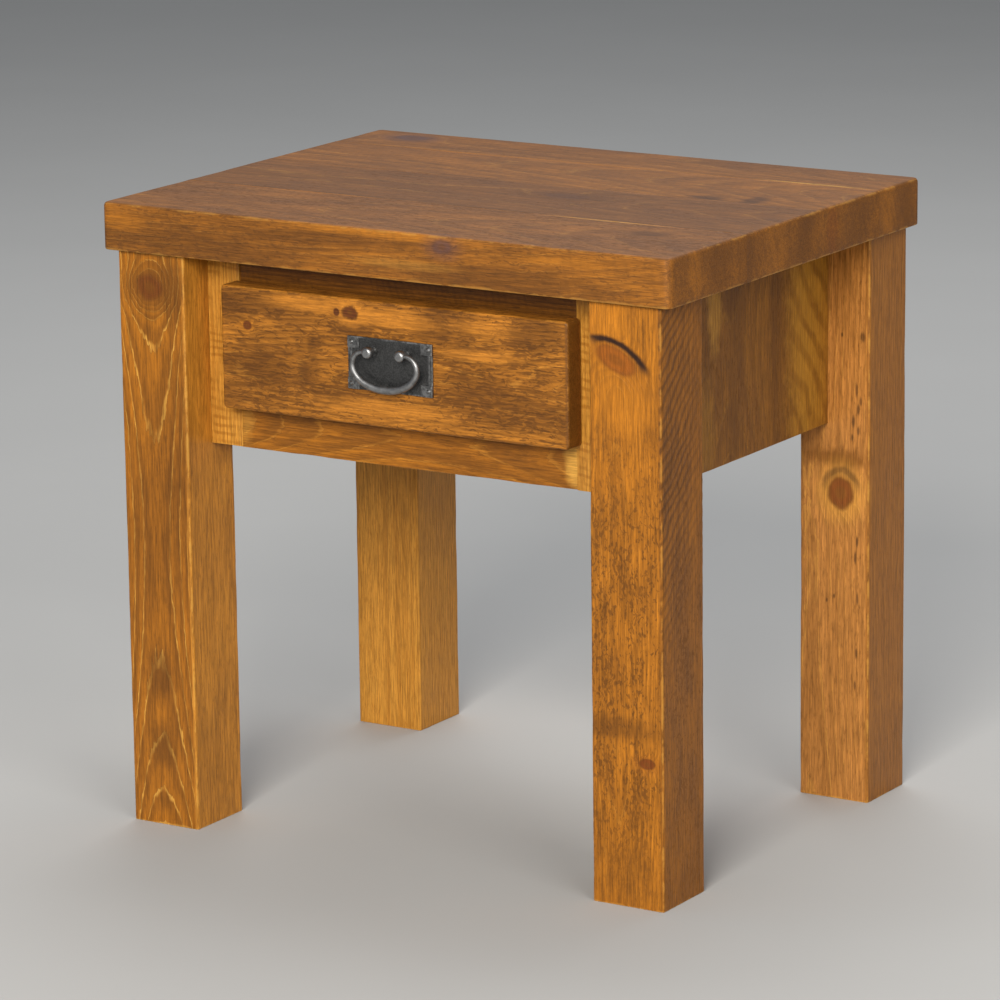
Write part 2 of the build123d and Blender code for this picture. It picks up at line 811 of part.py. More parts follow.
with BuildPart() as box_front:
    block((-box_inner_x, box_inner_x), (front_face_back_y, box_front_inner_y), box_zs)
    cut_block(
        (-box_inner_x, box_inner_x),
        (box_front_inner_y - groove_depth, box_front_inner_y),
        groove_zs,
    )
    for screw_x, screw_z in front_screw_spots:
        screw_hole(
            (screw_x, box_front_inner_y, screw_z),
            (0, -1, 0),
            box_front_thickness,
            countersink_depth + wood_screw_head_height,
        )
    for bolt_x in pull_bolt_xs:
        drill((bolt_x, front_face_back_y, post_z), (0, 1, 0), bolt_hole, box_front_thickness)
    for side in (LEFT, RIGHT):
        box_pin_holes(side, box_outer_x, box_pin_length + hole_end_gap)
save(box_front, "drawer_box_front")

with BuildPart() as box_back:
    block((-box_inner_x, box_inner_x), (box_back_inner_y, box_back_y), box_zs)
    cut_block(
        (-box_inner_x, box_inner_x),
        (box_back_inner_y, box_back_inner_y + groove_depth),
        groove_zs,
    )
    for side in (LEFT, RIGHT):
        box_pin_holes(side, box_outer_x, box_pin_length + hole_end_gap)
save(box_back, "drawer_box_back")

for side, side_name in SIDES:
    with BuildPart() as box_side:
        block(span(side, box_inner_x, box_outer_x), (front_face_back_y, box_back_y), box_zs)
        fillet(box_side.faces().sort_by(Axis.Z)[-1].edges().filter_by(Axis.Y), box_edge_radius)
        cut_block(span(side, box_inner_x, groove_x), (front_face_back_y, box_back_y), groove_zs)
        box_pin_holes(side, box_outer_x, box_side_thickness)
        for screw_y in drawer_screw_ys:
            drill(
                (side * box_outer_x, screw_y, runner_z),
                (-side, 0, 0),
                runner_screw_diameter + 2 * screw_clearance,
                inner_screw_length,
            )
    save(box_side, f"drawer_side_{side_name}")

with BuildPart() as drawer_bottom:
    block((-tray_x, tray_x), tray_ys, (tray_bottom_z, tray_top_z))
save(drawer_bottom, "drawer_bottom")

with BuildPart() as drawer_front_screws:
    for screw_x, screw_z in front_screw_spots:
        wood_screw((screw_x, box_front_inner_y, screw_z), (0, -1, 0), front_screw_length)
save(drawer_front_screws, "drawer_front_screws")

with BuildPart() as box_pins:
    for side in (LEFT, RIGHT):
        for pin_y, pin_z in box_pin_spots:
            with BuildSketch(facing((side * box_outer_x, pin_y, pin_z), (-side, 0, 0))):
                Circle(box_pin_diameter / 2)
            extrude(amount=box_pin_length)
save(box_pins, "drawer_box_pins")

# ---- drawer pull -----------------------------------------------------------------------------------------
pad_front_y = plate_front_y - plate_pad_rise

with BuildPart() as pull_plate:
    with BuildSketch(Plane.XZ.offset(-front_face_y)):
        with Locations((0, pull_z)):
            Rectangle(plate_width - 2 * plate_notch, plate_height - 2 * plate_notch)
        with Locations(*plate_pin_spots):
            RectangleRounded(plate_pad_width, plate_pad_height, plate_corner_radius)
    extrude(amount=plate_thickness)
    with BuildSketch(Plane.XZ.offset(-plate_front_y)):
        with Locations(*plate_pin_spots):
            RectangleRounded(plate_pad_width, plate_pad_height, plate_corner_radius)
    extrude(amount=plate_pad_rise)
    with BuildSketch(Plane.XZ.offset(-plate_front_y)):
        with Locations(
            *[
                (side * (plate_width / 2 - plate_notch - plate_ridge / 2), pull_z)
                for side in (LEFT, RIGHT)
            ]
        ):
            Rectangle(plate_ridge, plate_height - 2 * plate_pad_height)
    extrude(amount=plate_ridge_rise)
    for bolt_x in pull_bolt_xs:
        drill((bolt_x, plate_front_y, post_z), (0, 1, 0), bolt_hole, plate_thickness)
    for pin_x, pin_z in plate_pin_spots:
        drill((pin_x, pad_front_y, pin_z), (0, 1, 0), pin_hole, plate_thickness + plate_pad_rise)
save(pull_plate, "pull_plate")

with BuildPart() as plate_pins:
    for pin_x, pin_z in plate_pin_spots:
        with BuildSketch(facing((pin_x, pad_front_y, pin_z), (0, -1, 0))):
            Circle(plate_pin_head / 2)
        extrude(amount=plate_pin_head_height, taper=plate_pin_head_taper)
        with BuildSketch(facing((pin_x, pad_front_y, pin_z), (0, 1, 0))):
            Circle(plate_pin_diameter / 2)
        extrude(amount=plate_pin_length)
save(plate_pins, "pull_plate_pins")

post_side_x = post_x + post_head_diameter / 2
bolt_end_y = box_front_inner_y + washer_thickness + nut_height + bolt_tail
with BuildPart() as pull_posts:
    for side in (LEFT, RIGHT):
        post_axis = Axis((side * post_x, 0, post_z), (0, 1, 0))
        foot_y = plate_front_y - post_foot_height
        with BuildSketch(Plane.XY.offset(post_z)):
            with BuildLine():
                Polyline(
                    (side * post_x, bail_axis_y),
                    (side * (post_x + post_neck_diameter / 2), bail_axis_y),
                    (side * (post_x + post_neck_diameter / 2), foot_y),
                    (side * (post_x + post_foot_diameter / 2), foot_y),
                    (side * (post_x + post_foot_diameter / 2), plate_front_y),
                    (side * (post_x + bolt_diameter / 2), plate_front_y),
                    (side * (post_x + bolt_diameter / 2), bolt_end_y),
                    (side * post_x, bolt_end_y),
                    close=True,
                )
            make_face()
        revolve(axis=post_axis)
        with BuildSketch(Plane.XY.offset(post_z)):
            with BuildLine():
                FilletPolyline(
                    (side * post_x, bail_axis_y + post_head_back),
                    (side * post_side_x, bail_axis_y + post_head_back),
                    (side * post_side_x, bail_axis_y - post_head_front),
                    (side * post_x, bail_axis_y - post_head_front),
                    radius=post_head_round,
                )
                Line(
                    (side * post_x, bail_axis_y - post_head_front),
                    (side * post_x, bail_axis_y + post_head_back),
                )
            make_face()
        revolve(axis=post_axis)
        drill(
            (side * post_side_x, bail_axis_y, post_z),
            (-side, 0, 0),
            bail_tip_diameter + 2 * bail_tip_clearance,
            bail_tip_depth + bail_tip_clearance,
        )
save(pull_posts, "pull_posts")

with BuildPart() as pull_washers:
    for bolt_x in pull_bolt_xs:
        with BuildSketch(facing((bolt_x, box_front_inner_y, post_z), (0, 1, 0))):
            Circle(washer_diameter / 2)
            Circle(bolt_hole / 2, mode=Mode.SUBTRACT)
        extrude(amount=washer_thickness)
save(pull_washers, "pull_washers")

with BuildPart() as pull_nuts:
    for bolt_x in pull_bolt_xs:
        nut_y = box_front_inner_y + washer_thickness
        with BuildSketch(facing((bolt_x, nut_y, post_z), (0, 1, 0))):
            RegularPolygon(nut_width / 2, 6, major_radius=False)
            Circle(bolt_diameter / 2 + screw_clearance, mode=Mode.SUBTRACT)
        extrude(amount=nut_height)
save(pull_nuts, "pull_nuts")

# The bail is a tapered rod: level tips in the posts, a rounded shoulder at each side, and a
# shallow curve along the bottom.
with BuildLine(Plane.XZ.offset(-bail_axis_y)) as bail_route:
    EllipticalCenterArc(
        (post_side_x, post_z - bail_shoulder_drop),
        bail_half_width - post_side_x,
        bail_shoulder_drop,
        start_angle=90,
        arc_size=-90,
    )
    EllipticalCenterArc(
        (0, post_z - bail_shoulder_drop),
        bail_half_width,
        bail_drop - bail_shoulder_drop,
        start_angle=0,
        arc_size=-90,
    )
bail_line = bail_route.wires()[0]

with BuildPart() as pull_bail:
    for station in range(bail_stations + 1):
        along = station / bail_stations
        fullness = 1 - (1 - along) ** 2
        width = bail_tip_diameter + (bail_bottom_diameter - bail_tip_diameter) * fullness
        with BuildSketch(Plane(origin=bail_line @ along, z_dir=bail_line % along)):
            Circle(width / 2)
    loft()
    with BuildSketch(facing((post_side_x, bail_axis_y, post_z), (-1, 0, 0))):
        Circle(bail_tip_diameter / 2)
    extrude(amount=bail_tip_depth)
    mirror(about=Plane.YZ)
save(pull_bail, "pull_bail")
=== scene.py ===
"""Rustic pine side table with one drawer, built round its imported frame."""
import math

import bmesh
import bpy
from bpy.props import FloatProperty, FloatVectorProperty, PointerProperty
from mathutils import Color, Matrix, Vector, noise


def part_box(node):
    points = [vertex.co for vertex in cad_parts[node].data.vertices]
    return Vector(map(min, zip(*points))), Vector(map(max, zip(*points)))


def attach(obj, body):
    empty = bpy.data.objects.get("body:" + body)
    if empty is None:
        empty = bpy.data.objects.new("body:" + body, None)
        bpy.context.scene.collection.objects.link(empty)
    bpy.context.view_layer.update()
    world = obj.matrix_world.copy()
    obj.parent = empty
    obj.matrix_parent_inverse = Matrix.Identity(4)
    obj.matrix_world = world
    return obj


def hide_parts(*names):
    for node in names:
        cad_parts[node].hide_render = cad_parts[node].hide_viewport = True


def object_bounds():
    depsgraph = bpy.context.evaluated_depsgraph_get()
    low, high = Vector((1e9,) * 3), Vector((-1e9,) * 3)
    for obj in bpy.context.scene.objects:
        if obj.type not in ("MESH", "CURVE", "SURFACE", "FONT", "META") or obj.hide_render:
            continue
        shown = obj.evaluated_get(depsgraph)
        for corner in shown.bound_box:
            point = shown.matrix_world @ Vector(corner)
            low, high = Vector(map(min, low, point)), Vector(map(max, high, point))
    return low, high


bl_info = {
    "name": "Rustic Side Table",
    "version": (1, 0, 0),
    "blender": (4, 5, 0),
    "location": "3D View > Sidebar > Side Table",
    "description": "Builds a stained pine side table with a drawer, piece by piece",
    "category": "Object",
}

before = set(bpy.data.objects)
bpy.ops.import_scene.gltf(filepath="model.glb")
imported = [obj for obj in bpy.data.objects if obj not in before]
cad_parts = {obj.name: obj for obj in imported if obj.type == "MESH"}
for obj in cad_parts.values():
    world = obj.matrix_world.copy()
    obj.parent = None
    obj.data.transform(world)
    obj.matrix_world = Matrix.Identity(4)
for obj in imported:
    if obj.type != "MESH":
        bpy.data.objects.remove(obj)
cad_low, cad_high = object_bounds()

MM = 0.001
ORIGIN = (0.0, 0.0, 0.0)
X = Vector((1, 0, 0))
Y = Vector((0, 1, 0))
Z = Vector((0, 0, 1))

SHARP = math.radians(40)  # an edge that turns more than this is shown sharp
SAME_WAY = 0.99  # least dot product of two directions that count as the same
SQUARE_ON = 0.05  # largest dot product of two directions that count as square to each other


# ---------------------------------------------------------------- settings


def colour(label, about, value):
    return FloatVectorProperty(
        name=label, description=about, default=value, size=3, min=0, max=1, subtype="COLOR"
    )


def number(label, about, value, low=0.0, **settings):
    return FloatProperty(name=label, description=about, default=value, min=low, **settings)


def length(label, about, value):
    return number(label, about, value, subtype="DISTANCE", unit="LENGTH")


class TimberSettings(bpy.types.PropertyGroup):
    """Colours of the stained and bare timber, and how worn it is."""

    amber: colour("Amber", "Stained wood where it is brightest", (0.50, 0.176, 0.012))
    honey: colour("Honey", "Middle tone of the stained wood", (0.325, 0.113, 0.009))
    umber: colour("Umber", "Stained wood where it is darkest", (0.100, 0.036, 0.006))
    straw: colour("Straw", "Hard growth lines and worn arrises", (0.66, 0.34, 0.060))
    rust: colour("Rust", "Red heart of the knots", (0.19, 0.040, 0.006))
    bark: colour("Bark", "Cracks and bark rings", (0.03, 0.012, 0.006))
    plum: colour("Plum", "Weathered purple brown of some knots", (0.10, 0.048, 0.04))
    top_tone: colour("Top", "Middle tone of the table top", (0.25, 0.097, 0.021))
    bare: colour("Bare pine", "Planed wood inside the drawer", (0.66, 0.43, 0.22))
    bare_dark: colour("Bare pine, dark", "Growth lines of the planed wood", (0.50, 0.27, 0.11))
    pitch: length("Mesh pitch", "Distance between the cuts of a worn face", 4 * MM)
    dips: length("Dips", "Depth of the shallow dips in a face", 0.35 * MM)
    wear: length("Arris wear", "Most that an arris is worn away", 1.1 * MM)
    wear_reach: length("Wear reach", "How far the wear runs in from an arris", 7 * MM)
    roughness: number("Roughness", "Roughness of the lacquer", 0.42, max=1)


class MetalSettings(bpy.types.PropertyGroup):
    """Colours of the pull, the runners and the fixings."""

    iron: colour("Iron", "Dark antique finish of the pull", (0.075, 0.075, 0.074))
    # The worn iron also brightens the plate's rims and pads, where it is partly painted highlight.
    iron_worn_and_highlight: colour("Worn iron", "Rubbed high spots of the pull", (0.34, 0.34, 0.34))
    zinc: colour("Zinc", "Plating of the runners", (0.62, 0.63, 0.65))
    steel: colour("Steel", "Polished balls", (0.80, 0.80, 0.82))
    screw: colour("Screws", "Bright plated screws", (0.70, 0.69, 0.66))


class StageSettings(bpy.types.PropertyGroup):
    """Floor, light and camera."""

    floor_size: length("Floor", "Side of the square floor", 60.0)
    floor: colour("Floor colour", "Plain pale floor", (0.47, 0.465, 0.45))
    sky: colour("Surroundings", "Plain pale surroundings", (0.80, 0.85, 0.92))
    sky_strength: number("Surroundings strength", "Brightness of the surroundings", 0.30)
    key_power: number("Key light", "Power of the main light in watts", 348.0, unit="POWER")
    fill_power: number("Fill light", "Power of the side light in watts", 70.0, unit="POWER")
    top_power: number("Top light", "Power of the light overhead in watts", 85.0, unit="POWER")
    lens: number("Lens", "Focal length in millimetres", 182.6, low=1.0)


class SideTableSettings(bpy.types.PropertyGroup):
    """Everything that a user would change."""

    timber: PointerProperty(type=TimberSettings)
    metal: PointerProperty(type=MetalSettings)
    stage: PointerProperty(type=StageSettings)


# ---------------------------------------------------------------- node building


class Tree:
    """Adds nodes to one node tree and joins them."""

    def __init__(self, tree):
        self.tree = tree

    def feed(self, socket, value):
        if isinstance(value, bpy.types.NodeSocket):
            self.tree.links.new(value, socket)
        else:
            socket.default_value = value

    def node(self, kind, inputs=None, **settings):
        made = self.tree.nodes.new(kind)
        for name, value in settings.items():
            setattr(made, name, value)
        for socket, value in (inputs or {}).items():
            self.feed(made.inputs[socket], value)
        return made

    def math(self, operation, *values, clamp=False):
        made = self.node("ShaderNodeMath", operation=operation, use_clamp=clamp)
        for socket, value in zip(made.inputs, values):
            self.feed(socket, value)
        return made.outputs[0]

    def vector(self, operation, *values):
        made = self.node("ShaderNodeVectorMath", operation=operation)
        for socket, value in zip(made.inputs, values):
            self.feed(socket, value)
        return made.outputs["Value" if operation in ("LENGTH", "DOT_PRODUCT") else "Vector"]

    def plus(self, value, more):
        return self.math("ADD", value, more)

    def minus(self, value, less):
        return self.math("SUBTRACT", value, less)

    def times(self, value, by):
        return self.math("MULTIPLY", value, by)

    def over(self, value, by):
        return self.math("DIVIDE", value, by)

    def part(self, vector, axis):
        return self.node("ShaderNodeSeparateXYZ", {"Vector": vector}).outputs[axis]

    def stretch(self, vector, x, y, z):
        return self.vector("MULTIPLY", vector, (x, y, z))

    def join(self, x, y, z=0.0):
        return self.node("ShaderNodeCombineXYZ", {"X": x, "Y": y, "Z": z}).outputs[0]

    def bump(self, shader, height, distance, strength):
        made = self.node(
            "ShaderNodeBump", {"Height": height, "Distance": distance, "Strength": strength}
        )
        self.feed(shader.inputs["Normal"], made.outputs["Normal"])

    def step(self, value, low, high, out_low=0.0, out_high=1.0):
        """Value eased from out_low at low to out_high at high."""
        limits = {"From Min": low, "From Max": high, "To Min": out_low, "To Max": out_high}
        made = self.node(
            "ShaderNodeMapRange", {"Value": value, **limits}, interpolation_type="SMOOTHSTEP"
        )
        return made.outputs["Result"]

    def blend(self, factor, first, second, kind="MIX"):
        made = self.node("ShaderNodeMix", data_type="RGBA", blend_type=kind)
        for index, value in ((0, factor), (6, first), (7, second)):
            if isinstance(value, (tuple, Vector, Color)):
                value = (*value[:3], 1.0)
            self.feed(made.inputs[index], value)
        return made.outputs[2]

    def cloud(self, vector, scale=1.0, detail=2.0, rough=0.5):
        """Noise between 0 and 1, mostly near 0.5."""
        made = self.node(
            "ShaderNodeTexNoise",
            {"Vector": vector, "Scale": scale, "Detail": detail, "Roughness": rough},
        )
        return made.outputs["Fac"]

    def group(self, name, **inputs):
        """The outputs of a group. An underscore in the name of an input stands for a space."""
        made = self.node("ShaderNodeGroup", node_tree=bpy.data.node_groups[name])
        for label, value in inputs.items():
            self.feed(made.inputs[label.replace("_", " ")], value)
        return made.outputs


def new_group(name, inputs, outputs):
    """A shader node group: its Tree, what it is given, and the sockets that it gives out."""
    made = bpy.data.node_groups.new(name, "ShaderNodeTree")
    for label, default in inputs.items():
        kind = "NodeSocketVector" if isinstance(default, tuple) else "NodeSocketFloat"
        socket = made.interface.new_socket(label, in_out="INPUT", socket_type=kind)
        socket.default_value = default
    for label in outputs:
        made.interface.new_socket(label, in_out="OUTPUT", socket_type="NodeSocketFloat")
    tree = Tree(made)
    return tree, tree.node("NodeGroupInput").outputs, tree.node("NodeGroupOutput").inputs


def growth_ring_group():
    """Rings round the tree's heart, which is the Z axis here. A crown pulls them into arches."""
    tree, given, out = new_group(
        "Growth rings",
        {
            "Vector": ORIGIN, "Ring Width": 0.0045, "Wobble": 0.003, "Wobble Size": 0.05,
            "Crown": 0.0, "Crown Middle": 0.28, "Crown Half": 0.28, "Shift": 0.0, "Push": 0.0,
        },
        ("Line", "Dark"),
    )
    along = tree.part(given["Vector"], "Z")
    stretched = tree.stretch(given["Vector"], 1.0, 1.0, 0.25)
    soft = tree.cloud(stretched, scale=tree.over(1.0, given["Wobble Size"]))
    fine = tree.cloud(stretched, scale=260.0, rough=0.6)
    wobble = tree.times(tree.minus(soft, 0.5), tree.times(given["Wobble"], 2.0))
    radius = tree.vector("LENGTH", tree.stretch(given["Vector"], 1.0, 1.0, 0.0))
    reach = tree.over(tree.minus(along, given["Crown Middle"]), given["Crown Half"])
    crown = tree.times(tree.math("POWER", tree.math("ABSOLUTE", reach), 2.0), given["Crown"])
    depth = tree.minus(tree.plus(radius, wobble), crown)
    depth = tree.plus(tree.plus(depth, given["Push"]), given["Shift"])
    rings = tree.over(depth, given["Ring Width"])
    uneven = tree.node(
        "ShaderNodeTexNoise", {"W": tree.times(rings, 0.45), "Scale": 1.0}, noise_dimensions="1D"
    ).outputs["Fac"]
    rings = tree.plus(rings, tree.minus(uneven, 0.5))
    rings = tree.plus(rings, tree.times(tree.minus(fine, 0.5), 0.35))
    band = tree.math("FRACT", rings)
    line = tree.times(tree.step(band, 0.84, 0.95), tree.step(band, 0.965, 1.0, 1.0, 0.0))
    faint = tree.step(tree.cloud(stretched, scale=75.0, detail=3.0, rough=0.6), 0.36, 0.60, 0.25)
    line = tree.times(line, faint)
    tree.feed(out["Line"], line)
    tree.feed(out["Dark"], tree.times(tree.step(band, 0.2, 0.72), tree.minus(1.0, line)))


def fibre_group():
    """Fine fibres along Z."""
    tree, given, out = new_group("Fibres", {"Vector": ORIGIN, "Size": 0.0012}, ("Value",))
    stretched = tree.stretch(given["Vector"], 1.0, 1.0, 0.045)
    scale = tree.over(1.0, given["Size"])
    tree.feed(out["Value"], tree.cloud(stretched, scale=scale, detail=3.0, rough=0.62))


def dash_group():
    """Short dark dashes along Z, which waver a little."""
    tree, given, out = new_group(
        "Dark dashes",
        {"Vector": ORIGIN, "Length": 0.018, "Width": 0.0022, "Amount": 0.5, "Waver": 0.004},
        ("Mask",),
    )
    bend = tree.cloud(given["Vector"], scale=38.0)
    bend = tree.times(tree.minus(bend, 0.5), tree.times(given["Waver"], 2.0))
    moved = tree.vector("ADD", given["Vector"], tree.join(bend, bend))
    across = tree.over(1.0, given["Width"])
    squeeze = tree.join(across, across, tree.over(1.0, given["Length"]))
    spots = tree.cloud(tree.vector("MULTIPLY", moved, squeeze), rough=0.6)
    edge = tree.minus(0.80, tree.times(given["Amount"], 0.42))
    tree.feed(out["Mask"], tree.step(spots, edge, tree.plus(edge, 0.10)))


def knot_group():
    """One knot: its heart, the halo round it, a dark cap over it, and how it pushes the rings."""
    tree, given, out = new_group(
        "Knot",
        {
            "Vector": ORIGIN, "Centre": ORIGIN, "Size": (0.01, 0.01, 0.01),
            "Axis": (0.0, 1.0, 0.0), "Turn": 0.0, "Swirl": 9.0, "Ragged": 0.5,
        },
        ("Core", "Halo", "Push", "Swirl", "Cap"),
    )
    turned = tree.node(
        "ShaderNodeVectorRotate",
        {
            "Vector": given["Vector"], "Center": given["Centre"], "Axis": given["Axis"],
            "Angle": given["Turn"],
        },
        rotation_type="AXIS_ANGLE",
    ).outputs[0]
    offset = tree.vector("DIVIDE", tree.vector("SUBTRACT", turned, given["Centre"]), given["Size"])
    ragged = tree.cloud(given["Vector"], scale=90.0, detail=3.0, rough=0.6)
    distance = tree.vector("LENGTH", offset)
    distance = tree.plus(distance, tree.times(tree.minus(ragged, 0.5), given["Ragged"]))
    tree.feed(out["Core"], tree.step(distance, 0.72, 1.05, 1.0, 0.0))
    tree.feed(out["Halo"], tree.step(distance, 0.7, 2.3, 1.0, 0.0))
    tree.feed(out["Push"], tree.math("EXPONENT", tree.times(tree.times(distance, distance), -0.55)))
    waves = tree.math("SINE", tree.times(distance, given["Swirl"]))
    tree.feed(out["Swirl"], tree.math("MULTIPLY_ADD", waves, 0.5, 0.5))
    ring = tree.step(tree.math("ABSOLUTE", tree.minus(distance, 1.18)), 0.06, 0.34, 1.0, 0.0)
    above = tree.part(offset, "Z")
    tree.feed(out["Cap"], tree.times(ring, tree.step(above, -0.1, 0.75)))


def saw_mark_group():
    """Ridges that a saw left across a face, in patches."""
    tree, given, out = new_group(
        "Saw marks",
        {
            "Vector": ORIGIN, "Direction": (0.0, 0.0, 1.0), "Spacing": 0.004, "Wander": 0.4,
            "Solid": 0.0,
        },
        ("Height",),
    )
    along = tree.vector("DOT_PRODUCT", given["Vector"], given["Direction"])
    along = tree.over(along, given["Spacing"])
    bend = tree.cloud(given["Vector"], scale=22.0)
    wander = tree.times(tree.minus(bend, 0.5), given["Wander"])
    waves = tree.math("SINE", tree.times(tree.plus(along, tree.times(wander, 4.0)), math.tau))
    ridges = tree.step(waves, -0.4, 1.0)
    patchy = tree.step(tree.cloud(given["Vector"], scale=45.0, detail=3.0), 0.38, 0.62)
    tree.feed(out["Height"], tree.times(ridges, tree.math("MAXIMUM", patchy, given["Solid"])))


def worn_edge_group():
    """How near a point is to an edge of the block with this middle and half size."""
    tree, given, out = new_group(
        "Worn edges",
        {"Vector": ORIGIN, "Middle": ORIGIN, "Half": (0.1, 0.1, 0.1), "Width": 0.004},
        ("Mask",),
    )
    from_middle = tree.vector("SUBTRACT", given["Vector"], given["Middle"])
    inside = tree.vector("SUBTRACT", given["Half"], tree.vector("ABSOLUTE", from_middle))
    parts = tree.node("ShaderNodeSeparateXYZ", {"Vector": inside}).outputs
    low = tree.math("MINIMUM", parts["X"], parts["Y"])
    high = tree.math("MAXIMUM", parts["X"], parts["Y"])
    second = tree.math("MAXIMUM", low, tree.math("MINIMUM", high, parts["Z"]))
    ragged = tree.cloud(given["Vector"], scale=55.0, detail=4.0, rough=0.6)
    reach = tree.times(given["Width"], tree.step(ragged, 0.3, 0.7, 0.1, 1.0))
    tree.feed(out["Mask"], tree.step(tree.over(second, reach), 0.15, 1.0, 1.0, 0.0))


def mottle_group():
    """Soft blotches where the stain took more or less."""
    tree, given, out = new_group("Mottle", {"Vector": ORIGIN, "Size": 0.05}, ("Value",))
    scale = tree.over(1.0, given["Size"])
    blots = tree.cloud(given["Vector"], scale=scale, detail=3.0, rough=0.55)
    tree.feed(out["Value"], tree.step(blots, 0.3, 0.7))


GROUPS = (
    growth_ring_group, fibre_group, dash_group, knot_group, saw_mark_group, worn_edge_group,
    mottle_group,
)


# ---------------------------------------------------------------- timber materials

# Turns of the object's axes that bring the Z axis along a piece's grain.
TO_GRAIN = {
    "Z": (0.0, 0.0, 0.0),
    "X": (0.0, -math.pi / 2, 0.0),
    "Y": (math.pi / 2, 0.0, 0.0),
}
SMALL_PATCH = 3 * MM  # a patch that is no larger than this keeps an even outline
FACE_TONE = (4.5 * MM, 2.0 * MM)  # how far in from a face its own tone starts and is full
STREAKS = (260.0, 260.0, 12.0)  # how quickly long streaks change across and along the grain
FLECKS = (400.0, 400.0, 95.0)  # the same of short flecks
FIBRE_SHADES = (0.72, 1.24)  # what the darkest and the palest fibres multiply the tone by


def new_material(name):
    """A material: itself, its Tree, its shader and the place of each point on the object."""
    made = bpy.data.materials.new(name)
    made.use_nodes = True
    tree = Tree(made.node_tree)
    shader = made.node_tree.nodes["Principled BSDF"]
    place = tree.node("ShaderNodeTexCoord").outputs["Object"]
    return made, tree, shader, place


def worn_edges(tree, place, low, high, width):
    return tree.group(
        "Worn edges", Vector=place, Middle=(low + high) / 2, Half=(high - low) / 2, Width=width
    )["Mask"]


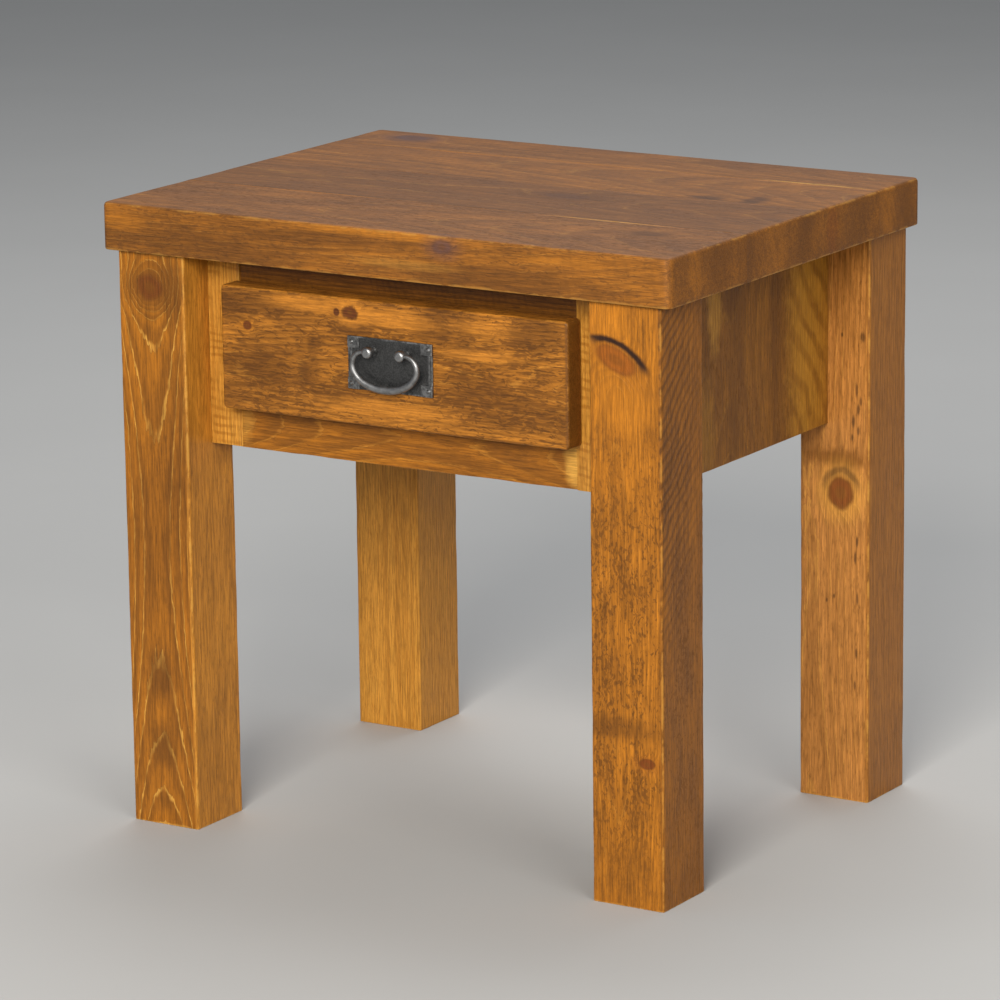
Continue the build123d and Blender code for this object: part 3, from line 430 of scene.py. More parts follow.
def pine(
    name, box, grain, heart, base, dark, light, *, lean=(0.0, 0.0), ring=4.5 * MM, wobble=2.0 * MM,
    wobble_size=60 * MM, crown=0.0, crown_middle=0.28, crown_half=0.28, shift=0.0,
    line=0.5, band=0.45, dashes=0.3, dash_length=16 * MM, dash_width=2.2 * MM, dash_strength=0.6,
    waver=4 * MM, dash_where=None, mottle=0.25, mottle_size=45 * MM, knots=(), patches=(), saw=(),
    edge=0.45, edge_width=3.5 * MM, relief=0.4, faces=(), streaks=0.3, gloss=0.0, sheen=0.20,
    coat=0.05,
):
    """A stained pine.

    The heart is a point that the middle of the tree passes through. A knot is a dict, and so is a
    cutting of the saw and a face with its own tone. A patch is its place, size, tone and strength.
    """
    timber = bpy.context.scene.side_table.timber
    low, high = box
    made, tree, shader, place = new_material(name)
    spin = TO_GRAIN[grain]
    turn = Matrix.Rotation(spin[0], 3, "X") @ Matrix.Rotation(spin[1], 3, "Y")
    start = -(turn @ Vector(heart))
    grained = tree.node(
        "ShaderNodeMapping", {"Vector": place, "Rotation": spin, "Location": start}
    ).outputs[0]
    leaning = tree.node(
        "ShaderNodeMapping", {"Vector": grained, "Rotation": (*lean, 0.0)}
    ).outputs[0]

    knot_nodes = []
    push = 0.0
    for knot in knots:
        node = tree.group(
            "Knot", Vector=place, Centre=knot["at"], Size=knot["size"],
            Turn=knot.get("turn", 0.0), Ragged=knot.get("ragged", 0.5),
        )
        knot_nodes.append((knot, node))
        strength = knot.get("push", 8 * MM)
        push = tree.math("MULTIPLY_ADD", node["Push"], strength, push)

    figure = tree.group(
        "Growth rings", Vector=leaning, Ring_Width=ring, Wobble=wobble, Wobble_Size=wobble_size,
        Crown=crown, Crown_Middle=crown_middle, Crown_Half=crown_half, Shift=shift, Push=push,
    )
    fibres = tree.group("Fibres", Vector=grained)["Value"]
    drawn_out = tree.stretch(grained, 1.0, 1.0, 0.4)
    blots = tree.group("Mottle", Vector=drawn_out, Size=mottle_size)["Value"]
    mask = tree.group(
        "Dark dashes", Vector=grained, Length=dash_length, Width=dash_width, Waver=waver,
        Amount=tree.math("MULTIPLY_ADD", blots, 0.35, dashes - 0.17),
    )["Mask"]
    long_streaks = tree.cloud(tree.stretch(grained, *STREAKS), detail=3.0, rough=0.6)
    flecks = tree.cloud(tree.stretch(grained, *FLECKS), detail=3.0, rough=0.65)

    kept = 1.0
    face_masks = []
    for face in faces:
        across = tree.vector("DOT_PRODUCT", place, face["axis"])
        here = tree.step(across, face["at"] - FACE_TONE[0], face["at"] - FACE_TONE[1])
        face_masks.append((face, here))
        calm = tree.math("MULTIPLY_ADD", here, -face.get("calm", 0.0), 1.0)
        kept = tree.times(calm, kept)
    rings_kept = tree.times(figure["Dark"], kept)
    lines_kept = tree.times(figure["Line"], kept)
    shown = base
    for face, here in face_masks:
        if "tone" in face:
            shown = tree.blend(tree.times(here, face["strength"]), shown, face["tone"])
    shown = tree.blend(tree.times(rings_kept, band), shown, dark)
    shown = tree.blend(tree.times(blots, mottle), shown, dark)
    shown = tree.blend(tree.step(long_streaks, 0.42, 0.72, 0.0, streaks), shown, dark)
    shown = tree.blend(tree.step(flecks, 0.50, 0.66, 0.0, 0.38), shown, dark)
    shown = tree.blend(tree.times(lines_kept, line), shown, light)
    amount = tree.times(tree.times(mask, dash_strength), kept)
    if dash_where:
        middle, size = dash_where
        near = tree.group("Knot", Vector=place, Centre=middle, Size=size)["Halo"]
        amount = tree.times(amount, near)
    shown = tree.blend(amount, shown, dark)
    for at, size, tone, strength in patches:
        ragged = 1.5 if min(size) > SMALL_PATCH else 0.4
        halo = tree.group("Knot", Vector=place, Centre=at, Size=size, Ragged=ragged)["Halo"]
        shown = tree.blend(tree.times(halo, strength), shown, tone)
    height = tree.math("MULTIPLY_ADD", fibres, 0.45, tree.times(lines_kept, 0.35))
    height = tree.minus(height, tree.times(mask, 0.12))
    for knot, node in knot_nodes:
        halo = tree.times(node["Halo"], knot.get("halo", 0.55))
        shown = tree.blend(halo, shown, knot.get("glow", dark))
        swirl = tree.times(node["Swirl"], knot.get("swirl", 0.45))
        heart_tone = tree.blend(swirl, knot.get("core", timber.rust), dark)
        core = tree.times(node["Core"], knot.get("strength", 0.9))
        shown = tree.blend(core, shown, heart_tone)
        cap = tree.times(node["Cap"], knot.get("cap", 0.0))
        shown = tree.blend(cap, shown, timber.bark)
        height = tree.minus(height, cap)
    for cutting in saw:
        cut = tree.group(
            "Saw marks", Vector=place, Direction=cutting["direction"], Spacing=cutting["spacing"],
            Solid=cutting.get("solid", 0.0), Wander=cutting.get("wander", 0.4),
        )["Height"]
        if "where" in cutting:
            middle, size = cutting["where"]
            near = tree.group("Knot", Vector=place, Centre=middle, Size=size)["Halo"]
            cut = tree.times(cut, near)
        if "face" in cutting:
            cut = tree.times(cut, face_masks[cutting["face"]][1])
        shown = tree.blend(tree.times(cut, cutting["strength"]), shown, cutting.get("tone", dark))
        height = tree.minus(height, tree.times(cut, cutting.get("relief", 0.25)))
    fine = tree.step(fibres, 0.3, 0.7, *FIBRE_SHADES)
    shade = tree.node("ShaderNodeCombineColor", {"Red": fine, "Green": fine, "Blue": fine})
    shown = tree.blend(1.0, shown, shade.outputs[0], "MULTIPLY")
    edges = worn_edges(tree, place, low, high, edge_width)
    shown = tree.blend(tree.times(edges, edge), shown, light)

    tree.feed(shader.inputs["Base Color"], shown)
    rough = tree.math("MULTIPLY_ADD", blots, -0.08, timber.roughness + 0.04 - gloss)
    tree.feed(shader.inputs["Roughness"], tree.math("MULTIPLY_ADD", mask, 0.14, rough))
    shader.inputs["Coat Weight"].default_value = coat
    shader.inputs["Coat Roughness"].default_value = 0.3
    shader.inputs["Specular IOR Level"].default_value = sheen
    tree.bump(shader, height, relief * MM, 0.8)
    return made


# ---------------------------------------------------------------- worn blocks

FACING = 0.5  # least part of a normal along an axis on a face that is cut by the saw
SKIN = 3 * MM  # how near such a face a point of it lies
# How quickly the parts of the wear change, per metre.
BROAD_DIPS, SMALL_DIPS, WORN_SPOTS, CHIPS = 9.0, 55.0, 26.0, 75.0


def parallel(edge, direction):
    ends = edge.verts[1].co - edge.verts[0].co
    return abs(ends.normalized().dot(direction)) > SAME_WAY


def cube(bm, low, high):
    bmesh.ops.create_cube(bm, size=1.0)
    place = Matrix.Translation((low + high) / 2) @ Matrix.Diagonal((*(high - low), 1.0))
    bmesh.ops.transform(bm, matrix=place, verts=bm.verts)
    bm.normal_update()


def cut_across(bm, at, axis, near):
    """Cuts the whole mesh at one plane. A corner that is as near as that keeps its place."""
    whole = bm.verts[:] + bm.edges[:] + bm.faces[:]
    bmesh.ops.bisect_plane(bm, geom=whole, dist=near, plane_co=at, plane_no=axis)


def wave(turns):
    """A wave between 0 and 1, once for each whole number of turns."""
    return 0.5 + 0.5 * math.sin(math.tau * turns)


def unevenness(at):
    """Smooth noise between 0 and 1."""
    return 0.5 + 0.5 * noise.noise(at)


def round_off(bm, edges, radius, segments):
    if edges and radius > 0:
        bmesh.ops.bevel(
            bm, geom=edges, offset=radius, offset_type="OFFSET", segments=segments, profile=0.5,
            affect="EDGES", clamp_overlap=True, material=-1,
        )


def rim(bm, up, joints, on_joint):
    """The edges of the face towards up, either those on the joints or the others."""
    found = []
    for edge in bm.edges:
        if len(edge.link_faces) != 2:
            continue
        normals = [face.normal for face in edge.link_faces]
        tops = [normal for normal in normals if normal.dot(up) > SAME_WAY]
        sides = [normal for normal in normals if abs(normal.dot(up)) < SQUARE_ON]
        if len(tops) == 1 and len(sides) == 1:
            joined = any(sides[0].dot(joint) > SAME_WAY for joint in joints)
            if joined == on_joint:
                found.append(edge)
    return found


def block(low, high, up, corner, front, back, joints=(), seam=0.0):
    """A block with rounded corners along up, a rounded rim towards up and another at its back.

    The corners and rims are left sharp on the sides that meet a joint, but for a small seam.
    """
    bm = bmesh.new()
    cube(bm, low, high)
    corners = [
        edge for edge in bm.edges
        if parallel(edge, up)
        and not any(face.normal.dot(way) > SAME_WAY for face in edge.link_faces for way in joints)
    ]
    round_off(bm, corners, corner, 4)
    for towards, radius in ((up, front), (-up, back)):
        bm.normal_update()
        round_off(bm, rim(bm, towards, joints, False), radius, 4)
        bm.normal_update()
        round_off(bm, rim(bm, towards, joints, True), seam, 2)
    bm.normal_update()
    return bm


def cut_up(bm, low, high, pitch):
    """Cuts a block across all three ways, so that its faces can be worn."""
    for axis in sorted((X, Y, Z), key=lambda a: abs((high - low).dot(a))):
        span = abs((high - low).dot(axis))
        count = int(span / pitch)
        for index in range(1, count):
            cut_across(bm, low + axis * (span * index / count), axis, 0.001 * MM)
    bm.normal_update()


def weather(bm, low, high, seed, dips, wear, reach, still=(), marks=None):
    """Sinks shallow dips into the faces and wears the arrises unevenly, always inwards."""
    moves = []
    shift = Vector((0.731, 0.377, 0.519)) * seed
    for vert in bm.verts:
        if any(vert.normal.dot(way) > 0.7 for way in still):
            continue
        gaps = sorted(min(at - a, b - at) for at, a, b in zip(vert.co, low, high))
        arris = max(0.0, 1.0 - gaps[1] / reach)
        depth = dips * unevenness(vert.co * BROAD_DIPS + shift)
        depth += dips * 0.4 * unevenness(vert.co * SMALL_DIPS + shift)
        chips = 0.12 * noise.noise(vert.co * CHIPS + shift)
        worn = max(0.0, noise.noise(vert.co * WORN_SPOTS + shift) + chips)
        depth += wear * worn * arris * arris
        if marks:
            depth += marks(vert.co, vert.normal)
        moves.append((vert, vert.normal * -depth))
    for vert, move in moves:
        vert.co += move


def finish_piece(bm, name, body, material, nodes):
    """Makes the object, with its body and the CAD nodes that it stands for."""
    for face in bm.faces:
        face.smooth = True
    for edge in bm.edges:
        edge.smooth = len(edge.link_faces) != 2 or edge.calc_face_angle() < SHARP
    mesh = bpy.data.meshes.new(name)
    bm.to_mesh(mesh)
    bm.free()
    mesh.materials.append(material)
    piece = bpy.data.objects.new(name, mesh)
    bpy.context.scene.collection.objects.link(piece)
    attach(piece, body)
    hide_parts(*nodes)
    return piece


def worn_piece(
    node, body, material, seed, *, low, high, up=Z, corner=1.0 * MM, front=0.8 * MM,
    back=0.8 * MM, joints=(), seam=0.0, pitch=None, still=(), marks=None, wear=1.0, wear_box=None,
):
    """A worn block in the place of one CAD node."""
    timber = bpy.context.scene.side_table.timber
    bm = block(low, high, up, corner, front, back, joints, seam)
    cut_up(bm, low, high, pitch or timber.pitch)
    wear_low, wear_high = wear_box or (low, high)
    weather(
        bm, wear_low, wear_high, seed, timber.dips, timber.wear * wear, timber.wear_reach, still,
        marks,
    )
    return finish_piece(bm, node + "_worn", body, material, [node])


def dress(nodes, material):
    """Gives CAD nodes a finished material."""
    for name in nodes:
        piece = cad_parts[name]
        if not piece.material_slots:
            piece.data.materials.append(material)
        for socket in piece.material_slots:
            socket.material = material


# ---------------------------------------------------------------- pieces


class Tones:
    """The colours of the stained wood, as vectors that can be mixed."""

    def __init__(self):
        timber = bpy.context.scene.side_table.timber
        for name in ("amber", "honey", "umber", "straw", "rust", "bark", "plum", "top_tone"):
            setattr(self, name, Vector(getattr(timber, name)))


def front_patches(y, deep, rows):
    """Patches on a face towards the front: x, z, half width, half height, tone and strength."""
    return [
        ((x, y, z), (wide, deep, tall), tone, strength)
        for x, z, wide, tall, tone, strength in rows
    ]


def between(first, second, share):
    """A colour that is this share of the way from the first to the second."""
    return first.lerp(second, share)


class SIDETABLE_OT_top(bpy.types.Operator):
    """Four glued boards of the table top"""

    bl_idname = "side_table.top"
    bl_label = "Table Top"

    def execute(self, context):
        t = Tones()
        low_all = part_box("top_board_front")[0]
        high_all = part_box("top_board_rear")[1]
        whole = (low_all, high_all)
        mid = t.top_tone
        boards = (
            ("top_board_rear", 0.18, (0.02, 0.05), 3.0, (0.10, 0.22, 0.48), 0.40, (-Y,), [
                {"at": (-0.250, 0.208, 0.610), "size": (0.023, 0.014, 0.012), "halo": 0.5,
                 "glow": t.plum, "core": t.plum, "push": 12 * MM},
            ], (
                ((0.240, 0.158, 0.610), (0.032, 0.0016, 0.004), t.straw, 0.80),
                ((-0.060, 0.158, 0.610), (0.120, 0.0020, 0.004), t.amber, 0.6),
            )),
            ("top_board_mid_rear", 0.26, (-0.03, 0.07), 7.0, (0.0, 0.12, 0.46), 0.34, (Y, -Y), [], (
                ((0.185, 0.046, 0.610), (0.012, 0.006, 0.01), t.bark, 0.6),
                ((0.233, 0.052, 0.610), (0.007, 0.016, 0.01), t.bark, 0.6),
            )),
            ("top_board_mid_front", -0.22, (0.04, 0.06), 11.0, (0.06, -0.02, 0.50), 0.48, (Y, -Y), [
                {"at": (0.064, -0.009, 0.612), "size": (0.030, 0.014, 0.010), "halo": 0.5,
                 "glow": t.umber, "core": between(t.umber, t.plum, 0.4), "push": 14 * MM,
                 "strength": 0.5},
            ], ()),
            ("top_board_front", 0.20, (0.0, 0.06), 17.0, (-0.04, -0.17, 0.45), 0.64, (Y,), [
                {"at": (0.230, -0.142, 0.611), "size": (0.020, 0.010, 0.010), "halo": 0.5,
                 "glow": t.umber, "core": t.umber, "push": 10 * MM, "strength": 0.6},
                {"at": (0.072, -0.240, 0.600), "size": (0.013, 0.010, 0.008), "halo": 0.45,
                 "glow": t.plum, "core": t.plum, "push": 8 * MM, "strength": 0.7},
            ], (
                ((0.165, -0.103, 0.610), (0.034, 0.0014, 0.004), t.straw, 0.35),
                ((0.000, -0.241, 0.607), (0.060, 0.004, 0.003), t.amber, 0.45),
                ((0.130, -0.241, 0.575), (0.070, 0.004, 0.007), t.umber, 0.60),
                ((-0.200, -0.241, 0.577), (0.070, 0.004, 0.008), t.umber, 0.50),
                ((-0.060, -0.241, 0.596), (0.070, 0.004, 0.005), t.umber, 0.50),
                ((0.030, -0.241, 0.580), (0.034, 0.004, 0.003), t.straw, 0.14),
                ((0.200, -0.241, 0.598), (0.030, 0.004, 0.003), t.amber, 0.30),
                ((-0.285, -0.241, 0.594), (0.016, 0.004, 0.006), t.amber, 0.30),
            )),
        )
        end_smears = tuple(
            ((side * high_all.x, y * MM, 588 * MM), (4 * MM, wide * MM, 18 * MM), tone, strength)
            for side in (-1, 1)
            for y, wide, tone, strength in (
                (-196, 7, t.amber, 0.22), (-150, 12, t.umber, 0.40), (-96, 6, t.umber, 0.30),
                (-48, 14, t.amber, 0.20), (8, 9, t.umber, 0.42), (64, 7, t.rust, 0.25),
                (118, 13, t.umber, 0.32), (176, 9, t.amber, 0.22), (214, 8, t.umber, 0.38),
            )
        )
        for name, tone, lean, seed, heart, dashes, joints, knots, patches in boards:
            low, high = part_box(name)
            base = between(mid, t.amber if tone > 0 else t.umber, abs(tone))
            reach = 30 * MM
            near_ends = [
                smear for smear in end_smears if low.y - reach < smear[0][1] < high.y + reach
            ]
            material = pine(
                name + "_pine", whole, "X", heart, base,
                between(t.umber, mid, 0.15), between(t.straw, mid, 0.45),
                lean=lean, ring=6.5 * MM, wobble=6 * MM, wobble_size=80 * MM, crown=0.012,
                crown_middle=0.0, crown_half=0.31, line=0.22, band=0.35, dashes=dashes,
                dash_length=11 * MM, dash_strength=0.65, waver=9 * MM,
                mottle=0.5, mottle_size=50 * MM, knots=knots, patches=[*patches, *near_ends],
                saw=[
                    {"direction": (1.0, 0.35, 0.2), "spacing": 9 * MM, "strength": 0.15,
                     "relief": 0.06},
                    {"direction": (0.0, 1.0, 0.15), "spacing": 11 * MM, "strength": 0.35,
                     "face": 1, "wander": 0.8, "relief": 0.05},
                ],
                edge=0.6, edge_width=4 * MM, relief=0.45, streaks=0.6, gloss=-0.12, sheen=0.24,
                coat=0.0,
                faces=[
                    {"axis": -Y, "at": -low_all.y, "tone": between(t.amber, t.honey, 0.95),
                     "strength": 0.8},
                    {"axis": X, "at": high_all.x, "tone": between(t.umber, t.honey, 0.6),
                     "strength": 0.8, "calm": 0.75},
                    {"axis": -X, "at": -low_all.x, "tone": between(t.umber, t.honey, 0.45),
                     "strength": 0.7, "calm": 0.75},
                    {"axis": Y, "at": high_all.y, "tone": between(t.amber, t.honey, 0.35),
                     "strength": 0.55, "calm": 0.2},
                ],
            )
            worn_piece(
                name, "table", material, seed, low=low, high=high, corner=7 * MM,
                front=4 * MM, back=2 * MM, joints=joints, seam=0.7 * MM, pitch=6 * MM,
                still=(*joints, -Z), wear_box=whole, wear=0.7,
            )
        return {"FINISHED"}


class SIDETABLE_OT_legs(bpy.types.Operator):
    """Four square legs"""

    bl_idname = "side_table.legs"
    bl_label = "Legs"

    # Short dark flecks on the front of the right rear leg: x, z, width and height in millimetres.
    REAR_FLECKS = (
        (290.5, 464.5, 1.7, 3.0), (284.0, 412.0, 0.9, 4.4), (288.5, 401.0, 0.9, 2.8),
        (286.0, 393.0, 1.1, 3.4), (280.5, 381.0, 1.2, 3.7), (286.0, 372.0, 0.9, 2.8),
        (279.5, 365.0, 0.8, 2.2), (268.0, 465.0, 0.8, 1.4), (285.0, 262.0, 0.9, 3.3),
        (283.0, 246.0, 0.9, 3.9), (285.5, 205.0, 0.8, 4.0), (260.0, 205.0, 0.8, 1.5),
        (252.0, 200.0, 0.7, 1.4), (284.5, 150.0, 0.9, 3.4), (283.0, 118.0, 0.8, 2.8),
    )

    def execute(self, context):
        t = Tones()
        amber, honey, umber, straw = t.amber, t.honey, t.umber, t.straw

        low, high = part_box("leg_front_left")
        swirl = pine(
            "leg_front_left_pine", (low, high), "Z", (-0.261, low.y + 0.055, 0.0),
            between(honey, amber, 0.45), between(umber, honey, 0.25), straw,
            wobble=1.5 * MM, wobble_size=55 * MM, crown=16.3 * MM,
            crown_middle=0.279, shift=1.9 * MM, line=0.72, band=0.50,
            dashes=0.34, dash_length=26 * MM, dash_width=1.6 * MM, dash_strength=0.45, mottle=0.3,
            streaks=0.4,
            # Painted light: the inner side, towards +X, is tinted bright straw amber to stand for
            # the light that falls on it.
            faces=[{"axis": X, "at": high.x, "calm": 0.9, "tone": between(amber, straw, 0.30),
                    "strength": 0.9},
                   {"axis": -X, "at": -low.x, "calm": 0.5}],
            knots=[{"at": (-0.262, low.y + 0.001, 0.531), "size": (0.018, 0.02, 0.0155),
                    "push": -20 * MM, "halo": 0.7, "glow": between(umber, honey, 0.25),
                    "core": between(umber, t.rust, 0.35), "swirl": 0.6}],
            patches=front_patches(low.y, 10 * MM, (
                (-0.236, 0.530, 0.010, 0.020, umber, 0.55),
                (-0.262, 0.155, 0.012, 0.016, umber, 0.5),
                (-0.262, 0.080, 0.010, 0.014, umber, 0.45),
                (-0.260, 0.300, 0.022, 0.045, umber, 0.35),
                (-0.236, 0.390, 0.012, 0.050, umber, 0.30),
            )),
            edge=0.55,
        )
        self.leg("leg_front_left", swirl, 23.0, low, high)

        low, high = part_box("leg_front_right")
        speckled = pine(
            "leg_front_right_pine", (low, high), "Z", (0.250, low.y - 0.030, 0.0),
            between(amber, honey, 0.20), between(umber, honey, 0.12), between(straw, amber, 0.4),
            ring=3.2 * MM, wobble=3 * MM, wobble_size=35 * MM, crown=-0.006, crown_middle=0.30,
            line=0.14, band=0.24, dashes=0.64,
            dash_where=((0.262, low.y, 0.24), (0.08, 0.08, 0.13)), dash_length=5.5 * MM,
            dash_width=2.4 * MM, dash_strength=0.75, waver=7 * MM, mottle=0.42, mottle_size=26 * MM,
            knots=[
                {"at": (0.251, low.y + 0.001, 0.512), "size": (0.026, 0.014, 0.0125), "turn": -0.42,
                 "push": 10 * MM, "halo": 0.25, "glow": between(t.rust, amber, 0.85),
                 "core": between(t.rust, amber, 0.30), "cap": 1.0, "strength": 0.95,
                 "ragged": 0.22},
                {"at": (0.281, low.y + 0.001, 0.139), "size": (0.010, 0.008, 0.006), "push": 6 * MM,
                 "halo": 0.4, "glow": between(t.rust, amber, 0.5),
                 "core": between(t.rust, umber, 0.35)},
            ],
            patches=[((0.245, low.y, 0.170), (0.030, 0.004, 0.007), umber, 0.55),
                     ((0.262, low.y, 0.470), (0.020, 0.01, 0.016), amber, 0.45),
                     ((0.240, low.y, 0.545), (0.014, 0.01, 0.010), amber, 0.4)],
            saw=[{"direction": (0.0, 0.71, -0.71), "spacing": 9 * MM, "strength": 0.72,
                  "solid": 0.8, "face": 0, "wander": 0.5, "tone": between(umber, t.bark, 0.3),
                  "where": ((high.x + 0.004, low.y + 0.01, 0.46), (0.008, 0.036, 0.14))}],
            edge=0.6, streaks=0.45,
            # Painted shade: the right side, towards +X, is tinted darker than the front to stand
            # for the shade on that side.
            faces=[{"axis": X, "at": high.x, "tone": between(honey, umber, 0.40), "strength": 0.7,
                    "calm": 0.25}],
        )
        self.leg("leg_front_right", speckled, 31.0, low, high, self.slanting_saw(high.x))

        low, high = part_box("leg_rear_right")
        smear = ((0.264, low.y, 0.343), (0.022, 0.008, 0.006), between(umber, honey, 0.3), 0.75)
        flecks = front_patches(low.y, 2 * MM, (
            (x * MM, z * MM, wide * MM, tall * MM, t.bark, 0.65)
            for x, z, wide, tall in self.REAR_FLECKS
        ))
        # The base tone is paler than on the other legs: pale wood, and painted light on the front,
        # which is tinted brighter to stand for the light it gets.
        pale = pine(
            "leg_rear_right_pine", (low, high), "Z", (0.235, low.y - 0.05, 0.0),
            (0.50, 0.205, 0.045), between(umber, honey, 0.2), between(straw, amber, 0.2),
            ring=4.2 * MM, wobble=2.2 * MM, wobble_size=70 * MM, crown=0.005, line=0.30, band=0.25,
            dashes=0.45, dash_length=9 * MM, dash_width=2.0 * MM, waver=1 * MM,
            mottle=0.18, dash_where=((0.287, low.y, 0.36), (0.006, 0.010, 0.16)),
            knots=[{"at": (0.267, low.y + 0.001, 0.309), "size": (0.0160, 0.012, 0.0190),
                    "push": 14 * MM, "halo": 0.6, "glow": between(straw, amber, 0.35), "cap": 0.55,
                    "ragged": 0.3, "core": between(t.rust, umber, 0.3), "swirl": 0.6}],
            patches=[smear, *flecks],
            edge=0.6,
            # Painted shade: the right side, towards +X, is tinted darker than the front to stand
            # for the shade on that side.
            faces=[{"axis": X, "at": high.x, "tone": between(honey, umber, 0.28), "strength": 0.7,
                    "calm": 0.25}],
        )
        self.leg("leg_rear_right", pale, 41.0, low, high)

        low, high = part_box("leg_rear_left")
        plain = pine(
            "leg_rear_left_pine", (low, high), "Z", (-0.28, low.y - 0.09, 0.0),
            between(amber, straw, 0.50), between(honey, umber, 0.1), between(straw, amber, 0.3),
            ring=3.6 * MM, wobble=0.8 * MM, wobble_size=90 * MM, line=0.28, band=0.28, dashes=0.12,
            dash_length=20 * MM, dash_strength=0.4, mottle=0.15,
            knots=[{"at": (-0.245, high.y - 0.001, 0.22), "size": (0.011, 0.010, 0.013),
                    "push": 12 * MM}],
            edge=0.5,
        )
        self.leg("leg_rear_left", plain, 53.0, low, high)
        return {"FINISHED"}

    @staticmethod
    def slanting_saw(face_x):
        """Ridges of a coarse saw on one side of a leg, rising to the rear."""
        spacing, deepest = 9 * MM, 0.30 * MM
        lowest, fade_over = 220 * MM, 200 * MM

        def depth(at, normal):
            if normal.x < FACING or abs(at.x - face_x) > SKIN:
                return 0.0
            phase = (at.y - at.z) * 0.71 / spacing + 0.6 * noise.noise(at * 20.0)
            fade = max(0.0, min(1.0, (at.z - lowest) / fade_over))
            return deepest * fade * wave(phase)

        return depth

    @staticmethod
    def leg(name, material, seed, low, high, marks=None):
        worn_piece(
            name, "table", material, seed, low=low, high=high, corner=2.5 * MM,
            front=1.2 * MM, back=1.2 * MM, still=(-Z, Z), marks=marks,
        )


class SIDETABLE_OT_face_frame(bpy.types.Operator):
    """Stiles and rails round the drawer"""

    bl_idname = "side_table.face_frame"
    bl_label = "Face Frame"

    def execute(self, context):
        t = Tones()
        amber, honey, umber, straw = t.amber, t.honey, t.umber, t.straw
        for name, seed in (("front_stile_left", 61.0), ("front_stile_right", 67.0)):
            low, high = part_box(name)
            material = pine(
                name + "_pine", (low, high), "Z", (low.x - 0.05, low.y + 0.04, 0.0),
                between(amber, straw, 0.55), between(honey, umber, 0.25), straw,
                ring=3.8 * MM, wobble=1.2 * MM, line=0.35, band=0.3, dashes=0.15, mottle=0.2,
                saw=[{"direction": (0.05, 0.0, 1.0), "spacing": 8 * MM, "strength": 0.55}],
                edge=0.5, edge_width=2.5 * MM,
            )
            worn_piece(
                name, "table", material, seed, low=low, high=high,
                corner=1.2 * MM, still=(Z, X, -X), wear=0.6,
            )
        low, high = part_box("front_bottom_rail")
        ends = [
            ((side * (high.x - 0.002), low.y, 0.404), (0.007, 0.004, 0.014), straw, strength)
            for side, strength in ((-1, 0.3), (1, 0.9))
        ]
        material = pine(
            "front_bottom_rail_pine", (low, high), "X", (0.03, low.y + 0.045, 0.404),
            between(honey, amber, 0.35), between(umber, honey, 0.2), between(straw, amber, 0.5),
            ring=5.5 * MM, wobble=2.5 * MM, wobble_size=80 * MM, crown=0.012, crown_middle=0.0,
            crown_half=0.17, line=0.3, dashes=0.5, dash_length=22 * MM,
            mottle=0.5, patches=ends, edge=0.4, edge_width=2.5 * MM, streaks=0.5,
        )
        worn_piece(
            "front_bottom_rail", "table", material, 71.0, low=low, high=high,
            corner=1.2 * MM, back=1.0 * MM, still=(X, -X),
        )
        low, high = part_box("front_top_rail")
        # The top rail is tinted darker than the bottom rail: darker wood, and painted shade under
        # the overhanging top.
        material = pine(
            "front_top_rail_pine", (low, high), "X", (0.0, low.y + 0.06, 0.60),
            between(honey, umber, 0.45), between(umber, t.bark, 0.3), between(honey, amber, 0.3),
            ring=3.5 * MM, line=0.3, band=0.5, dashes=0.4, mottle=0.3,
            saw=[{"direction": (1.0, 0.0, 0.25), "spacing": 7 * MM, "strength": 0.35}],
            edge=0.3, edge_width=2 * MM,
        )
        worn_piece(
            "front_top_rail", "table", material, 73.0, low=low, high=high,
            still=(X, -X, Z), wear=0.6,
        )
        return {"FINISHED"}


